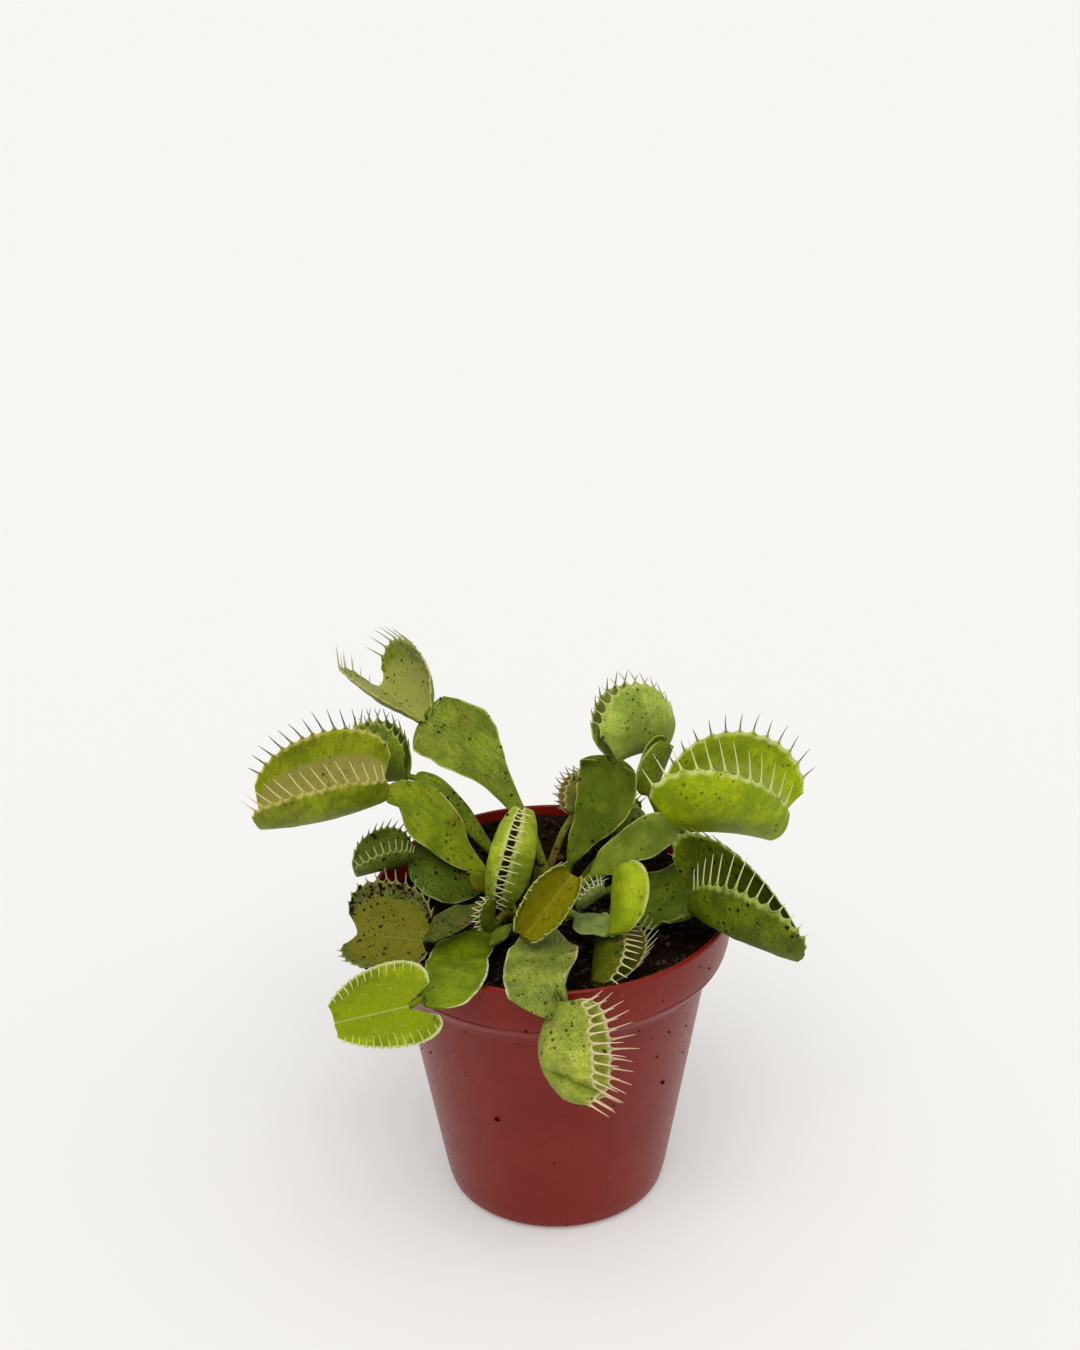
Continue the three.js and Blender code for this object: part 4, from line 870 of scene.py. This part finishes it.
def make_pot(material):
    """The turned pot with its drain holes cut out."""
    profile = [(0, 0), (FOOT_RADIUS, 0), (FOOT_RADIUS + 2.2, 1.2), *POT_SIDE, (RIM_RADIUS - 0.3, POT_HEIGHT)]
    profile += [*POT_INSIDE[::-1], (FOOT_RADIUS, FLOOR), (0, FLOOR)]
    for corner, radius in ROUNDINGS.items():
        profile = rounded(profile, corner, radius)
    shell = Shell()
    lathe(shell, profile, 180)
    pot = shell.make("moulded_pot", material)
    drills = Shell()
    for i in range(DRAIN_HOLES):
        angle = 2 * math.pi * i / DRAIN_HOLES + DRAIN_TURN
        x, y = DRAIN_RING_RADIUS * math.cos(angle), DRAIN_RING_RADIUS * math.sin(angle)
        path = [(x, y, z) for z in (-1.0, 0.5, FLOOR, FLOOR + 1.0)]
        tube(drills, path, [DRAIN_RADIUS] * 4, sides=32)
    drill = drills.make("drill", material)
    cut = pot.modifiers.new("drain_holes", "BOOLEAN")
    cut.object = drill
    cut.operation = "DIFFERENCE"
    bpy.context.view_layer.update()
    evaluated = pot.evaluated_get(bpy.context.evaluated_depsgraph_get())
    pot.data = bpy.data.meshes.new_from_object(evaluated)
    pot.modifiers.clear()
    bpy.data.objects.remove(drill)
    pot.data.shade_smooth()
    return pot


# ---- peat ----
def soil_height(x, y):
    """The peat's surface without its grit: higher at the back and along the rim."""
    radius = np.hypot(x, y)
    back = 5 * smooth_step((y - 24) / 14)
    edge = 1.2 * smooth_step((radius - 26) / 12)
    lumps = 0.35 * np.sin(x * 0.42 + 1) * np.sin(y * 0.37 + 2) * smooth_step((radius - 12) / 10)
    return SOIL_TOP + back + edge + lumps


def soil_bed(shell, rings=64, segments=220):
    """The peat as one closed body: a rough top, and sides that stay clear of the pot's wall."""
    top_radius = HIGH_BAND - WALL - SOIL_GAP
    angles = np.arange(segments) * 2 * math.pi / segments
    radii = top_radius * np.linspace(0.01, 1, rings)[::-1]
    x, y = np.outer(radii, np.cos(angles)), np.outer(radii, np.sin(angles))
    top = np.stack([x, y, soil_height(x, y)], -1)
    grit = 0.9 * rough(top, 3.5, 1.0) + 0.6 * rough(top, 1.5, 4.0) + 0.3 * rough(top, 0.7, 9.0)
    calm = smooth_step((top_radius - radii) / 1.5)[:, None]
    top[..., 2] += (grit - 0.3) * (0.35 + 0.65 * calm)
    wall = [(FOOT_RADIUS - 0.6, FLOOR + 0.4)] + [(r - BED_GAP, z) for r, z in POT_INSIDE[:4]]
    sides = [np.stack([r * np.cos(angles), r * np.sin(angles), np.full(segments, z)], -1) for r, z in wall]
    add_rings(shell, np.concatenate([np.stack(sides), top]), tooth=0.2)


GOLDEN = (1 + 5**0.5) / 2
UPRIGHT_CORNERS = [(x, GOLDEN * y, 0) for y in (1, -1) for x in (-1, 1)]
CRUMB_CORNERS = np.vstack([np.roll(UPRIGHT_CORNERS, axis, axis=1) for axis in range(3)]) / 1.9
CRUMB_FACES = [
    (0, 11, 5), (0, 5, 1), (0, 1, 7), (0, 7, 10), (0, 10, 11), (1, 5, 9), (5, 11, 4), (11, 10, 2), (10, 7, 6),
    (7, 1, 8), (3, 9, 4), (3, 4, 2), (3, 2, 6), (3, 6, 8), (3, 8, 9), (4, 9, 5), (2, 4, 11), (6, 2, 10),
    (8, 6, 7), (9, 8, 1),
]


def crumb_shape(draw, size):
    """An uneven crumb: a ball of twenty faces, with its corners moved."""
    jitter = np.array([[draw.uniform(0.6, 1.25) for _ in range(3)] for _ in CRUMB_CORNERS])
    squash = np.array([draw.uniform(0.6, 1.3), draw.uniform(0.5, 1.1), draw.uniform(0.4, 0.9)])
    angle = draw.uniform(0, 6.28)
    axis = Vector((draw.random(), draw.random(), draw.random() + 0.01))
    return (CRUMB_CORNERS * jitter * squash) @ np.array(Matrix.Rotation(angle, 3, axis)) * size


def spot_within(draw, reach):
    radius, angle = reach * math.sqrt(draw.random()), draw.uniform(0, 2 * math.pi)
    return radius * math.cos(angle), radius * math.sin(angle)


def make_peat(material):
    """The bed of peat with loose crumbs and fibres on it."""
    draw = random.Random(SEED)
    shell = Shell()
    soil_bed(shell)
    reach = HIGH_BAND - WALL - CRUMB_GAP
    for _ in range(SOIL_CRUMBS):
        x, y = spot_within(draw, reach)
        size = min(1.3, 0.28 + draw.expovariate(3.6))
        # how pale the crumb is: partly its own tone, partly painted highlight
        tone = draw.random() ** 2
        points = crumb_shape(draw, size) + (x, y, float(soil_height(x, y)) + 0.1 * size)
        shell.add(points, CRUMB_FACES, tooth=tone)
    for _ in range(SOIL_FIBRES):
        x, y = spot_within(draw, 0.94 * reach)
        heading, long = draw.uniform(0, 2 * math.pi), draw.uniform(1.5, 5.0)
        t = np.linspace(-0.5, 0.5, 6)
        curl = draw.uniform(-0.5, 0.5)
        fx = np.clip(x + t * long * math.cos(heading) + curl * t**2 * long * math.sin(heading), -reach, reach)
        fy = y + t * long * math.sin(heading) - curl * t**2 * long * math.cos(heading)
        fz = soil_height(fx, fy) + 0.35 + draw.uniform(-0.1, 0.5) * np.cos(t * math.pi)
        path = np.stack([fx, fy, fz + t * draw.uniform(-0.8, 0.8)], -1)
        # pale fibres: partly their own tone, partly painted highlight
        tube(shell, path, [draw.uniform(0.06, 0.16)] * 6, sides=4, tooth=draw.uniform(0.4, 1))
    return shell.make("peat", material)


def add_pot_crumbs(shell, draw):
    """Crumbs of peat stuck to the pot's outside."""
    radii, heights = zip(*POT_SIDE)
    for degrees, height, size in POT_CRUMBS:
        angle = math.radians(degrees)
        radius = float(np.interp(height, heights, radii))
        spot = np.array([radius * math.cos(angle), radius * math.sin(angle), height])
        shell.add(crumb_shape(draw, size * 0.5) * 0.8 + spot, CRUMB_FACES, tooth=0.1)


def add_leaf_crumbs(shell, draw, look, piece):
    """Crumbs on a leaf's upward faces, apart from rims and teeth. Older, redder leaves hold more."""
    tooth = piece.data.attributes["tooth"].data
    faces = [face for face in piece.data.polygons if face.normal.z > 0.15]
    for face in draw.sample(faces, min(len(faces), int(LEAF_CRUMBS * look.blush * look.crumbs))):
        if tooth[face.vertices[0]].value > 0.1:
            continue
        size = 0.16 + draw.expovariate(6.0)
        spot = np.array((face.center + face.normal * size * 0.1 * MM) / MM)
        shell.add(crumb_shape(draw, min(size, 0.75)) + spot, CRUMB_FACES, tooth=draw.random() * 0.4)


def add_caught_crumbs(shell, draw, leaf, piece):
    """Crumbs that lie thick along the upper edge of a trap's inner face."""
    marks = {mark: piece.data.attributes[mark].data for mark in ("out", "inside", "tooth")}
    lowest = (leaf["trap"]["end"][2] + 3) * MM
    faces = []
    for face in piece.data.polygons:
        out, inside, tooth = (data[face.vertices[0]].value for data in marks.values())
        if inside == 1 and tooth == 0 and out > 0.68 and face.center.z > lowest:
            faces.append(face)
    for _ in range(leaf["look"].caught):
        face = draw.choice(faces)
        corner = piece.data.vertices[draw.choice(face.vertices)].co
        spot = np.array(face.center.lerp(corner, draw.random()) / MM)
        size = min(0.6, 0.12 + draw.expovariate(7.0))
        shell.add(crumb_shape(draw, size) + spot, CRUMB_FACES, tooth=draw.random() * 0.55)


def make_clinging_crumbs(leaf_pieces, material):
    """Specks of peat on the pot's side and on the leaves."""
    draw = random.Random(SEED + 1)
    shell = Shell()
    add_pot_crumbs(shell, draw)
    for name, piece in leaf_pieces.items():
        leaf = LEAVES[name]
        add_leaf_crumbs(shell, draw, leaf["look"], piece)
        if leaf["look"].caught:
            add_caught_crumbs(shell, draw, leaf, piece)
    return shell.make("clinging_peat", material)


# ---- stage ----
def make_camera():
    data = bpy.data.cameras.new("camera")
    data.lens = CAMERA_LENS
    data.sensor_width = CAMERA_SENSOR
    camera = add_to_scene("camera", data)
    axes = Matrix((CAMERA_RIGHT, CAMERA_UP, [-v for v in CAMERA_AHEAD])).transposed().to_4x4()
    camera.matrix_world = Matrix.Translation(CAMERA_PLACE) @ axes
    bpy.context.scene.camera = camera


def soft_sun(name, towards, strength, spread, colour):
    """A far, wide light, so that the floor is as bright everywhere."""
    data = bpy.data.lights.new(name, "SUN")
    data.energy = strength
    data.angle = math.radians(spread)
    data.color = colour
    add_to_scene(name, data).rotation_euler = Vector(towards).to_track_quat("-Z", "Y").to_euler()


def make_stage():
    world = bpy.data.worlds.new("studio")
    world.use_nodes = True
    background = world.node_tree.nodes["Background"].inputs
    background["Color"].default_value = ROOM_COLOUR
    background["Strength"].default_value = ROOM_LIGHT
    bpy.context.scene.world = world
    bpy.context.scene.view_settings.view_transform = "Standard"
    soft_sun("key", **KEY_LIGHT)
    soft_sun("fill", **FILL_LIGHT)
    mesh = bpy.data.meshes.new("floor")
    corners = [(x * FLOOR_REACH, y * FLOOR_REACH, 0) for x, y in ((-1, -1), (1, -1), (1, 1), (-1, 1))]
    mesh.from_pydata(corners, [], [(0, 1, 2, 3)])
    mesh.materials.append(floor_material())
    floor = add_to_scene("floor", mesh)


# ---- the whole ----
def make_leaf(name, leaf, seed):
    shell = Shell()
    add_stalk(shell, leaf, seed)
    if "trap" in leaf:
        add_trap(shell, leaf, seed)
    plain = name.removeprefix("leaf_")
    return shell.make(f"grown_{plain}", leaf_material(f"skin_{plain}", leaf["look"]))


def settle(piece, *nodes):
    """Ties a piece to the plant's only body, in place of its CAD nodes, which are hidden."""
    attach(piece, "root")
    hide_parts(*nodes)


make_camera()
make_stage()
settle(make_pot(plastic_material()), "pot")
peat = peat_material()
settle(make_peat(peat), "soil")
leaf_pieces = {
    name: make_leaf(name, leaf, SEED_STEP * i) for i, (name, leaf) in enumerate(LEAVES.items())
}
for name, piece in leaf_pieces.items():
    settle(piece, name)
crumbs = make_clinging_crumbs(leaf_pieces, peat)
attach(crumbs, "root")
